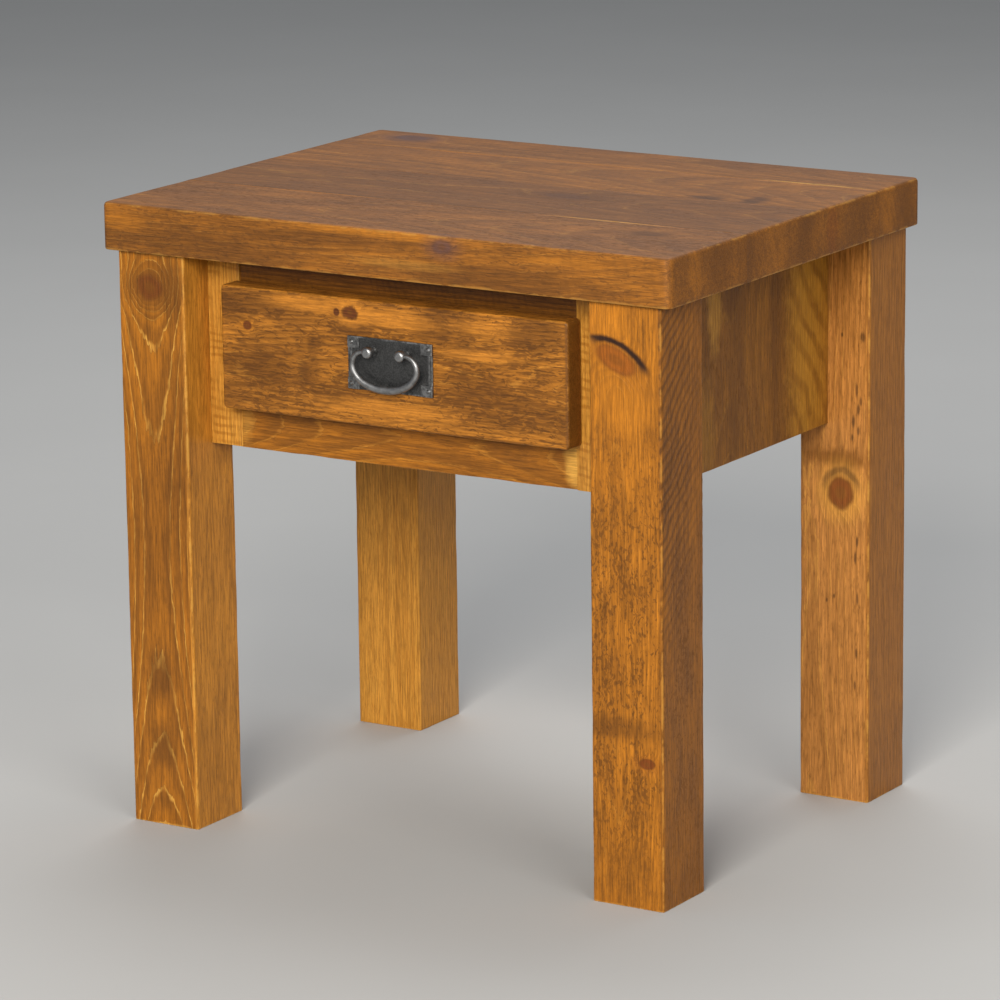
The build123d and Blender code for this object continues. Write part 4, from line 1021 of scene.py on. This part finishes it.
class SIDETABLE_OT_panels(bpy.types.Operator):
    """Rough-sawn side and back panels"""

    bl_idname = "side_table.panels"
    bl_label = "Side and Back Panels"

    def execute(self, context):
        t = Tones()
        amber, honey, umber, straw = t.amber, t.honey, t.umber, t.straw
        ochre = Vector((0.42, 0.19, 0.022))
        overlap = 1.0 * MM
        for side, name in ((-1, "side_panel_left"), (1, "side_panel_right")):
            low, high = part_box(name)
            low.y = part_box("leg_front_right")[1].y - overlap
            high.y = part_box("leg_rear_right")[0].y + overlap
            face = high.x if side > 0 else low.x
            material = pine(
                name + "_pine", (low, high), "Z", (face - side * 0.10, -0.03, 0.0),
                between(between(honey, ochre, 0.3), umber, 0.28), between(umber, honey, 0.15),
                between(ochre, straw, 0.25),
                ring=7 * MM, wobble=4 * MM, crown=0.01, crown_middle=0.47,
                crown_half=0.1, line=0.2, band=0.35, dashes=0.55, dash_length=8 * MM,
                dash_width=2 * MM, mottle=0.4, streaks=0.5,
                patches=[
                    ((face, -0.058, 0.530), (0.02, 0.0075, 0.026), between(ochre, straw, 0.2),
                     0.75),
                    ((face, -0.075, 0.410), (0.02, 0.010, 0.030), ochre, 0.4),
                    ((face, 0.125, 0.470), (0.02, 0.026, 0.10), ochre, 0.85),
                    ((face, -0.020, 0.480), (0.02, 0.009, 0.090), umber, 0.45),
                    ((face, 0.058, 0.500), (0.02, 0.006, 0.080), umber, 0.50),
                ],
                saw=[
                    {"direction": (0.0, 0.78, 0.62), "spacing": 24 * MM, "strength": 0.62,
                     "solid": 0.7, "wander": 0.30, "tone": between(umber, honey, 0.3),
                     "where": ((face, 0.120, 0.470), (0.02, 0.030, 0.10))},
                    {"direction": (0.0, 1.0, 0.0), "spacing": 3.0 * MM, "strength": 0.42,
                     "solid": 0.35},
                ],
                edge=0.35, edge_width=2.5 * MM,
            )
            worn_piece(
                name, "table", material, 79.0 + side, low=low, high=high, up=X * side,
                still=(Y, -Y, Z), marks=self.upright_saw(face), wear=0.7,
            )
        low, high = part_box("back_panel")
        low.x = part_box("leg_rear_left")[1].x - overlap
        high.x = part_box("leg_rear_right")[0].x + overlap
        material = pine(
            "back_panel_pine", (low, high), "X", (0.05, high.y - 0.03, 0.50),
            between(honey, amber, 0.2), between(umber, honey, 0.2), between(straw, amber, 0.4),
            ring=5 * MM, wobble=4 * MM, wobble_size=70 * MM, crown=0.015, crown_middle=0.0,
            crown_half=0.2, line=0.35, dashes=0.35, dash_length=18 * MM,
            dash_strength=0.5, mottle=0.3,
            knots=[{"at": (0.09, high.y, 0.49), "size": (0.016, 0.012, 0.011), "push": 10 * MM}],
            saw=[{"direction": (1.0, 0.0, 0.1), "spacing": 9 * MM, "strength": 0.35}],
            edge=0.35, edge_width=2.5 * MM,
        )
        worn_piece(
            "back_panel", "table", material, 83.0, low=low, high=high, up=Y,
            still=(X, -X, Z), wear=0.7,
        )
        return {"FINISHED"}

    @staticmethod
    def upright_saw(face_x):
        """Fine upright ridges across the outer face."""
        spacing, deepest = 12 * MM, 0.18 * MM

        def depth(at, normal):
            if abs(normal.x) < FACING or abs(at.x - face_x) > SKIN:
                return 0.0
            return deepest * wave(at.y / spacing + 0.5 * noise.noise(at * 15.0))

        return depth


class SIDETABLE_OT_drawer_front(bpy.types.Operator):
    """Overlaid drawer front with a strong dark figure"""

    bl_idname = "side_table.drawer_front"
    bl_label = "Drawer Front"

    def execute(self, context):
        t = Tones()
        amber, honey, umber, straw = t.amber, t.honey, t.umber, t.straw
        low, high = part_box("drawer_front")
        face = low.y
        bright = Vector((0.56, 0.21, 0.024))
        patches = front_patches(face, 10 * MM, (
            (-0.165, 0.524, 0.028, 0.008, umber, 0.65),
            (-0.108, 0.515, 0.016, 0.006, umber, 0.45),
            (-0.125, 0.470, 0.026, 0.020, umber, 0.40),
            (0.050, 0.520, 0.014, 0.014, umber, 0.60),
            (-0.040, 0.508, 0.014, 0.004, umber, 0.60),
            (0.105, 0.522, 0.034, 0.004, bright, 0.40),
            (-0.010, 0.436, 0.050, 0.005, bright, 0.45),
            (-0.175, 0.440, 0.012, 0.014, umber, 0.45),
            (0.160, 0.522, 0.020, 0.010, umber, 0.55),
            (0.120, 0.455, 0.050, 0.016, umber, 0.35),
            (0.000, 0.521, 0.030, 0.005, bright, 0.55),
            (-0.085, 0.528, 0.030, 0.005, bright, 0.60),
            (-0.098, 0.462, 0.0035, 0.011, umber, 0.60),
            (-0.088, 0.486, 0.0035, 0.010, umber, 0.50),
            (0.078, 0.507, 0.0080, 0.010, umber, 0.50),
            (0.098, 0.497, 0.0300, 0.0035, bright, 0.45),
        ))
        material = pine(
            "drawer_front_stained_pine", (low, high), "X", (0.05, face - 0.035, 0.47),
            between(bright, honey, 0.30), between(umber, honey, 0.10), between(straw, bright, 0.55),
            lean=(0.03, 0.05), ring=4.0 * MM, wobble=9 * MM, wobble_size=42 * MM, line=0.30,
            band=0.46, dashes=0.72, dash_length=15 * MM, dash_strength=0.80,
            waver=9 * MM, mottle=0.60, mottle_size=32 * MM, patches=patches, streaks=0.4,
            # The right end, towards +X, is tinted umber: end grain that takes more stain, and
            # painted shade on that end.
            faces=[{"axis": X, "at": high.x, "tone": umber, "strength": 0.7, "calm": 0.5}],
            knots=[
                {"at": (-0.046, face, 0.5245), "size": (0.0105, 0.008, 0.008), "push": 10 * MM,
                 "halo": 0.7, "glow": bright, "core": between(t.rust, t.bark, 0.62),
                 "ragged": 1.0, "strength": 0.95, "swirl": 0.7},
                {"at": (-0.060, face, 0.5235), "size": (0.004, 0.008, 0.0045), "push": 0.0,
                 "halo": 0.3, "glow": umber, "core": between(t.rust, t.bark, 0.65),
                 "strength": 0.95},
                {"at": (-0.161, face, 0.501), "size": (0.0055, 0.006, 0.0048), "push": 6 * MM,
                 "halo": 0.25, "glow": amber, "core": between(t.rust, t.bark, 0.5)},
            ],
            edge_width=3.0 * MM,
        )
        worn_piece(
            "drawer_front", "drawer", material, 97.0, low=low, high=high,
            up=-Y, corner=4.5 * MM, front=3 * MM, still=(Y,), pitch=3.5 * MM, wear=0.6,
        )
        return {"FINISHED"}


class SIDETABLE_OT_inner_timber(bpy.types.Operator):
    """Finish of the drawer box, battens, cleats and dowels"""

    bl_idname = "side_table.inner_timber"
    bl_label = "Inner Timber"

    def execute(self, context):
        timber = context.scene.side_table.timber
        bare, dark = Vector(timber.bare), Vector(timber.bare_dark)
        light = between(bare, Vector((1.0, 0.9, 0.7)), 0.25)
        along_y = [
            "drawer_side_left", "drawer_side_right", "runner_batten_left", "runner_batten_right",
            "top_cleat_left", "top_cleat_right",
        ]
        along_x = ["drawer_box_front", "drawer_box_back", "top_cleat_rear"]
        for names, grain in ((along_y, "Y"), (along_x, "X")):
            for count, name in enumerate(names):
                low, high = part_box(name)
                middle = (low + high) / 2
                heart = (middle.x + 0.04, middle.y + 0.03, high.z + 0.02 + count * 0.013)
                material = pine(
                    name + "_planed_pine", (low, high), grain, heart, bare, dark, light,
                    ring=4.0 * MM, wobble=2.5 * MM, wobble_size=70 * MM, line=0.15, band=0.42,
                    dashes=0.12, dash_length=20 * MM, dash_strength=0.25, mottle=0.12,
                    edge=0.25, edge_width=1.2 * MM, relief=0.2,
                )
                dress([name], material)
        dress(["frame_dowels"], self.beech())
        dress(["drawer_bottom"], self.plywood())
        return {"FINISHED"}

    @staticmethod
    def beech():
        made, tree, shader, place = new_material("dowel_beech")
        flecks = tree.group(
            "Dark dashes", Vector=place, Length=3 * MM, Width=0.5 * MM, Amount=0.4
        )["Mask"]
        fibres = tree.group("Fibres", Vector=place)["Value"]
        shown = tree.blend(fibres, (0.62, 0.42, 0.24), (0.70, 0.50, 0.31))
        shown = tree.blend(tree.times(flecks, 0.5), shown, (0.42, 0.25, 0.12))
        tree.feed(shader.inputs["Base Color"], shown)
        tree.feed(shader.inputs["Roughness"], tree.step(fibres, 0.2, 0.8, 0.5, 0.7))
        return made

    @staticmethod
    def plywood():
        """Face veneer above and below, and dark and pale plies on the edges."""
        low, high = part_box("drawer_bottom")
        made, tree, shader, place = new_material("drawer_bottom_plywood")
        turned = tree.node(
            "ShaderNodeMapping",
            {"Vector": place, "Rotation": TO_GRAIN["X"], "Location": (0.9, 0.12, 0.0)},
        ).outputs[0]
        figure = tree.group(
            "Growth rings", Vector=turned, Ring_Width=18 * MM, Wobble=30 * MM, Wobble_Size=0.16
        )
        fibres = tree.group("Fibres", Vector=turned)["Value"]
        shown = tree.blend(tree.times(figure["Dark"], 0.5), (0.64, 0.46, 0.27), (0.50, 0.31, 0.15))
        shown = tree.blend(tree.step(fibres, 0.35, 0.75, 0.0, 0.35), shown, (0.45, 0.28, 0.14))
        ply = (high.z - low.z) / 5
        level = tree.part(place, "Z")
        layer = tree.math("FRACT", tree.over(tree.minus(level, low.z), 2 * ply))
        inner = tree.times(tree.step(layer, 0.48, 0.52), 0.6)
        shown = tree.blend(inner, shown, (0.34, 0.20, 0.10))
        tree.feed(shader.inputs["Base Color"], shown)
        tree.feed(shader.inputs["Roughness"], tree.step(fibres, 0.2, 0.8, 0.5, 0.68))
        tree.bump(shader, fibres, 0.1 * MM, 0.5)
        return made


# ---------------------------------------------------------------- metal


def metal(
    name, tone, worn, rough, *, grime=0.4, grime_size=6 * MM, streak=(1.0, 1.0, 1.0), pits=0.0,
    rub=None,
):
    """A metal finish: streaks or pits, grime in patches, and rubbed places where rub says so."""
    made, tree, shader, place = new_material(name)
    tone, worn = Vector(tone), Vector(worn)
    drawn = tree.cloud(tree.stretch(place, *streak), scale=900.0, detail=3.0, rough=0.6)
    blots = tree.group("Mottle", Vector=place, Size=grime_size)["Value"]
    shown = tree.blend(tree.times(blots, grime), tone, tone * 0.45)
    shown = tree.blend(tree.step(drawn, 0.3, 0.75, 0.0, 0.22), shown, worn)
    roughness = tree.math("MULTIPLY_ADD", blots, 0.16, rough)
    if rub:
        high_spots = rub(tree, place)
        shown = tree.blend(high_spots, shown, worn)
        roughness = tree.minus(roughness, tree.times(high_spots, 0.12))
    tree.feed(shader.inputs["Base Color"], shown)
    shader.inputs["Metallic"].default_value = 1.0
    tree.feed(shader.inputs["Roughness"], roughness)
    height = drawn
    if pits:
        dents = tree.node("ShaderNodeTexVoronoi", {"Vector": place, "Scale": 420.0})
        height = tree.math(
            "MULTIPLY_ADD", dents.outputs["Distance"], pits, tree.times(drawn, 0.3)
        )
    tree.bump(shader, height, 0.12 * MM, 0.45)
    return made


class SIDETABLE_OT_pull(bpy.types.Operator):
    """Back plate, posts, pins and bail of the pull"""

    bl_idname = "side_table.pull"
    bl_label = "Drawer Pull"

    def execute(self, context):
        settings = context.scene.side_table.metal
        iron, worn = Vector(settings.iron), Vector(settings.iron_worn_and_highlight)
        dress(["pull_bail"], metal(
            "bail_iron", iron * 1.7, worn * 0.95, 0.47, grime=0.45, pits=0.15, rub=self.rub_bail,
        ))
        dress(["pull_posts"], metal(
            "post_iron", iron * 1.8, worn, 0.38, pits=0.1, rub=self.rub_posts,
        ))
        # Painted highlight: the pins' iron is tinted far brighter than the plate's to stand for the
        # glints on their heads.
        dress(["pull_plate_pins"], metal("pin_iron_painted_highlight", iron * 3.2, worn * 1.3, 0.34, pits=0.1))
        # The plate's rims and pads are brightened with worn iron: partly rubbed wear, partly
        # painted highlight.
        self.plate(metal(
            "plate_iron", iron * 0.8, worn * 1.1, 0.46, grime=0.3, pits=0.3, rub=self.rub_rims_and_paint_highlights,
        ))
        return {"FINISHED"}

    @staticmethod
    def rub_bail(tree, place):
        """Rubbed bright where hands reach the front of the bail."""
        low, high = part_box("pull_bail")
        middle = (low.y + high.y) / 2
        near = tree.step(tree.part(place, "Y"), middle + 1.5 * MM, low.y)
        ragged = tree.step(tree.cloud(place, scale=160.0, detail=3.0), 0.25, 0.6, 0.25, 0.95)
        return tree.times(near, ragged)

    @staticmethod
    def rub_posts(tree, place):
        """Rubbed at the front of the posts."""
        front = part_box("pull_posts")[0].y
        return tree.step(tree.part(place, "Y"), front + 5 * MM, front, 0.15, 0.9)

    @staticmethod
    def rub_rims_and_paint_highlights(tree, place):
        """Rubbed along the plate's rims and on its raised corner pads, where the brighter worn iron
        is also painted highlight.
        """
        low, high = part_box("pull_plate")
        edges = worn_edges(tree, place, low, high, 2.8 * MM)
        depth = tree.part(place, "Y")
        raised = tree.step(depth, low.y + 0.75 * MM, low.y + 0.2 * MM, 0.0, 0.6)
        ragged = tree.step(tree.cloud(place, scale=300.0, detail=3.0), 0.35, 0.65, 0.2)
        return tree.times(tree.math("MAXIMUM", tree.times(edges, 0.9), raised), ragged)

    @staticmethod
    def plate(material):
        """Back plate: corner pads and end ridges raised from a thin dished plate."""
        low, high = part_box("pull_plate")
        pad_height, ridge_height, dent_depth = 0.9 * MM, 0.55 * MM, 0.14 * MM
        pad_x, pad_z = 12.5 * MM, 11 * MM
        ridge_in, ridge_out = 5.0 * MM, 2.0 * MM
        bm = bmesh.new()
        cube(bm, low + Y * pad_height, high)
        for axis, at in (
            (X, low.x + pad_x), (X, high.x - pad_x), (Z, low.z + pad_z), (Z, high.z - pad_z),
            (X, low.x + ridge_in), (X, low.x + ridge_out), (X, high.x - ridge_in),
            (X, high.x - ridge_out),
        ):
            cut_across(bm, axis * at, axis, 0.0001 * MM)
        bm.normal_update()
        fronts = [face for face in bm.faces if face.normal.dot(-Y) > SAME_WAY]

        def raise_faces(faces, by):
            made = bmesh.ops.extrude_face_region(bm, geom=faces)["geom"]
            moved = [part for part in made if isinstance(part, bmesh.types.BMVert)]
            bmesh.ops.translate(bm, vec=-Y * by, verts=moved)
            bmesh.ops.delete(bm, geom=faces, context="FACES_ONLY")

        def corner(face):
            at = face.calc_center_median()
            from_end, from_rim = min(at.x - low.x, high.x - at.x), min(at.z - low.z, high.z - at.z)
            return from_end < pad_x and from_rim < pad_z

        def ridge(face):
            at = face.calc_center_median()
            gap = min(at.x - low.x, high.x - at.x)
            return ridge_out < gap < ridge_in and not corner(face)

        pads = [face for face in fronts if corner(face)]
        ridges = [face for face in fronts if ridge(face)]
        raise_faces(pads, pad_height)
        raise_faces(ridges, ridge_height)
        bmesh.ops.dissolve_limit(
            bm, angle_limit=math.radians(1), verts=bm.verts[:], edges=bm.edges[:]
        )
        bm.normal_update()
        sharp = [
            edge for edge in bm.edges if len(edge.link_faces) == 2 and edge.calc_face_angle() > 0.6
        ]
        round_off(bm, sharp, 0.22 * MM, 2)
        cut_up(bm, low, high, 1.8 * MM)
        for vert in bm.verts:
            if vert.normal.y < -0.6 and vert.co.y > low.y + 0.5 * MM:
                vert.co.y += dent_depth * unevenness(vert.co * 260.0)
        finish_piece(bm, "pull_plate_worn", "drawer", material, ["pull_plate"])


class SIDETABLE_OT_runners(bpy.types.Operator):
    """Finish of the drawer runners, their cages and balls"""

    bl_idname = "side_table.runners"
    bl_label = "Drawer Runners"

    def execute(self, context):
        settings = context.scene.side_table.metal
        drawn = (1.0, 0.03, 1.0)
        plating = Vector(settings.zinc)
        zinc = metal(
            "runner_zinc", plating * 0.9, plating, 0.30, grime=0.18, grime_size=30 * MM,
            streak=drawn,
        )
        cage = metal("cage_zinc", plating * 0.75, plating, 0.36, grime=0.25, streak=drawn)
        ball = metal("ball_steel_polished", settings.steel, settings.steel, 0.06, grime=0.08)
        for side in ("left", "right"):
            dress([f"runner_{member}_{side}" for member in ("cabinet", "middle", "drawer")], zinc)
            dress([f"ball_cage_{place}_{side}" for place in ("outer", "inner")], cage)
            dress([f"balls_{place}_{side}" for place in ("outer", "inner")], ball)
        return {"FINISHED"}


class SIDETABLE_OT_fixings(bpy.types.Operator):
    """Finish of the screws, pins, washers and nuts"""

    bl_idname = "side_table.fixings"
    bl_label = "Screws and Nuts"

    def execute(self, context):
        settings = context.scene.side_table.metal
        plated = metal(
            "screw_plating", settings.screw, settings.steel, 0.28, grime=0.3, grime_size=4 * MM,
            pits=0.1,
        )
        names = (
            "top_fixing_screws", "panel_fixing_screws", "runner_cabinet_screws",
            "drawer_front_screws", "drawer_box_pins", "runner_drawer_screws", "pull_washers",
            "pull_nuts",
        )
        dress(names, plated)
        return {"FINISHED"}


# ---------------------------------------------------------------- stage

CAMERA_AT = (2.5226, -4.0572, 1.4473)
CAMERA_TURNS = (32.076, 13.446, -0.737)  # azimuth, elevation and roll, in degrees


class SIDETABLE_OT_stage(bpy.types.Operator):
    """Plain pale floor, soft lights and the camera"""

    bl_idname = "side_table.stage"
    bl_label = "Stage"

    def execute(self, context):
        settings = context.scene.side_table.stage
        self.camera(context, settings)
        self.floor(context, settings)
        self.lights(context, settings)
        return {"FINISHED"}

    @staticmethod
    def camera(context, settings):
        azimuth, elevation, roll = (math.radians(degrees) for degrees in CAMERA_TURNS)
        back = Vector((
            math.sin(azimuth) * math.cos(elevation), -math.cos(azimuth) * math.cos(elevation),
            math.sin(elevation),
        ))
        right = Vector((math.cos(azimuth), math.sin(azimuth), 0.0))
        upward = back.cross(right)
        tilted_right = right * math.cos(roll) + upward * math.sin(roll)
        tilted_up = upward * math.cos(roll) - right * math.sin(roll)
        data = bpy.data.cameras.new("camera")
        data.lens = settings.lens
        data.sensor_width = 36.0
        data.clip_end = 200.0
        camera = bpy.data.objects.new("camera", data)
        turn = Matrix((tilted_right, tilted_up, back)).transposed().to_4x4()
        camera.matrix_world = Matrix.Translation(CAMERA_AT) @ turn
        context.scene.collection.objects.link(camera)
        context.scene.camera = camera

    @staticmethod
    def floor(context, settings):
        bm = bmesh.new()
        bmesh.ops.create_grid(bm, x_segments=1, y_segments=1, size=settings.floor_size / 2)
        mesh = bpy.data.meshes.new("floor")
        bm.to_mesh(mesh)
        bm.free()
        made, tree, shader, place = new_material("floor_pale")
        grain = tree.cloud(place, scale=3.0, detail=4.0)
        pale = Vector(settings.floor)
        tree.feed(shader.inputs["Base Color"], tree.blend(grain, pale, pale * 0.94))
        shader.inputs["Roughness"].default_value = 0.9
        mesh.materials.append(made)
        floor = bpy.data.objects.new("floor", mesh)
        context.scene.collection.objects.link(floor)

    @staticmethod
    def lights(context, settings):
        world = bpy.data.worlds.new("surroundings")
        world.use_nodes = True
        background = world.node_tree.nodes["Background"]
        background.inputs["Color"].default_value = (*settings.sky, 1.0)
        background.inputs["Strength"].default_value = settings.sky_strength
        context.scene.world = world
        aim = (cad_low + cad_high) / 2
        lamps = (
            ("key_light", (1.63, -5.10, 2.95), 2.2, settings.key_power, (1.0, 0.96, 0.90)),
            ("fill_light", (3.60, -2.20, 2.2), 2.2, settings.fill_power, (1.0, 0.97, 0.93)),
            ("top_light", (-0.6, 1.8, 3.8), 2.6, settings.top_power, (0.97, 0.98, 1.0)),
        )
        for name, place, size, power, tint in lamps:
            data = bpy.data.lights.new(name, "AREA")
            data.shape = "SQUARE"
            data.size = size
            data.energy = power
            data.color = tint
            lamp = bpy.data.objects.new(name, data)
            lamp.location = place
            lamp.rotation_euler = (Vector(place) - aim).to_track_quat("Z", "Y").to_euler()
            context.scene.collection.objects.link(lamp)
        context.scene.view_settings.view_transform = "Standard"


# ---------------------------------------------------------------- panel and running

OPERATORS = (
    SIDETABLE_OT_stage, SIDETABLE_OT_top, SIDETABLE_OT_legs, SIDETABLE_OT_face_frame,
    SIDETABLE_OT_panels, SIDETABLE_OT_drawer_front, SIDETABLE_OT_inner_timber, SIDETABLE_OT_pull,
    SIDETABLE_OT_runners, SIDETABLE_OT_fixings,
)


class SIDETABLE_PT_sidebar(bpy.types.Panel):
    """Lists the pieces of the side table"""

    bl_idname = "SIDETABLE_PT_sidebar"
    bl_label = "Side Table"
    bl_space_type = "VIEW_3D"
    bl_region_type = "UI"
    bl_category = "Side Table"

    def draw(self, context):
        for operator in OPERATORS:
            self.layout.operator(operator.bl_idname)
        settings = context.scene.side_table
        for part in (settings.timber, settings.metal, settings.stage):
            box = self.layout.box()
            for name in part.__annotations__:
                box.prop(part, name)


CLASSES = (
    TimberSettings, MetalSettings, StageSettings, SideTableSettings, *OPERATORS,
    SIDETABLE_PT_sidebar,
)


def register():
    for kind in CLASSES:
        bpy.utils.register_class(kind)
    bpy.types.Scene.side_table = PointerProperty(type=SideTableSettings)


def unregister():
    del bpy.types.Scene.side_table
    for kind in reversed(CLASSES):
        bpy.utils.unregister_class(kind)


def main():
    register()
    for make_group in GROUPS:
        make_group()
    for operator in OPERATORS:
        family, name = operator.bl_idname.split(".")
        getattr(getattr(bpy.ops, family), name)()


if __name__ == "__main__":
    main()
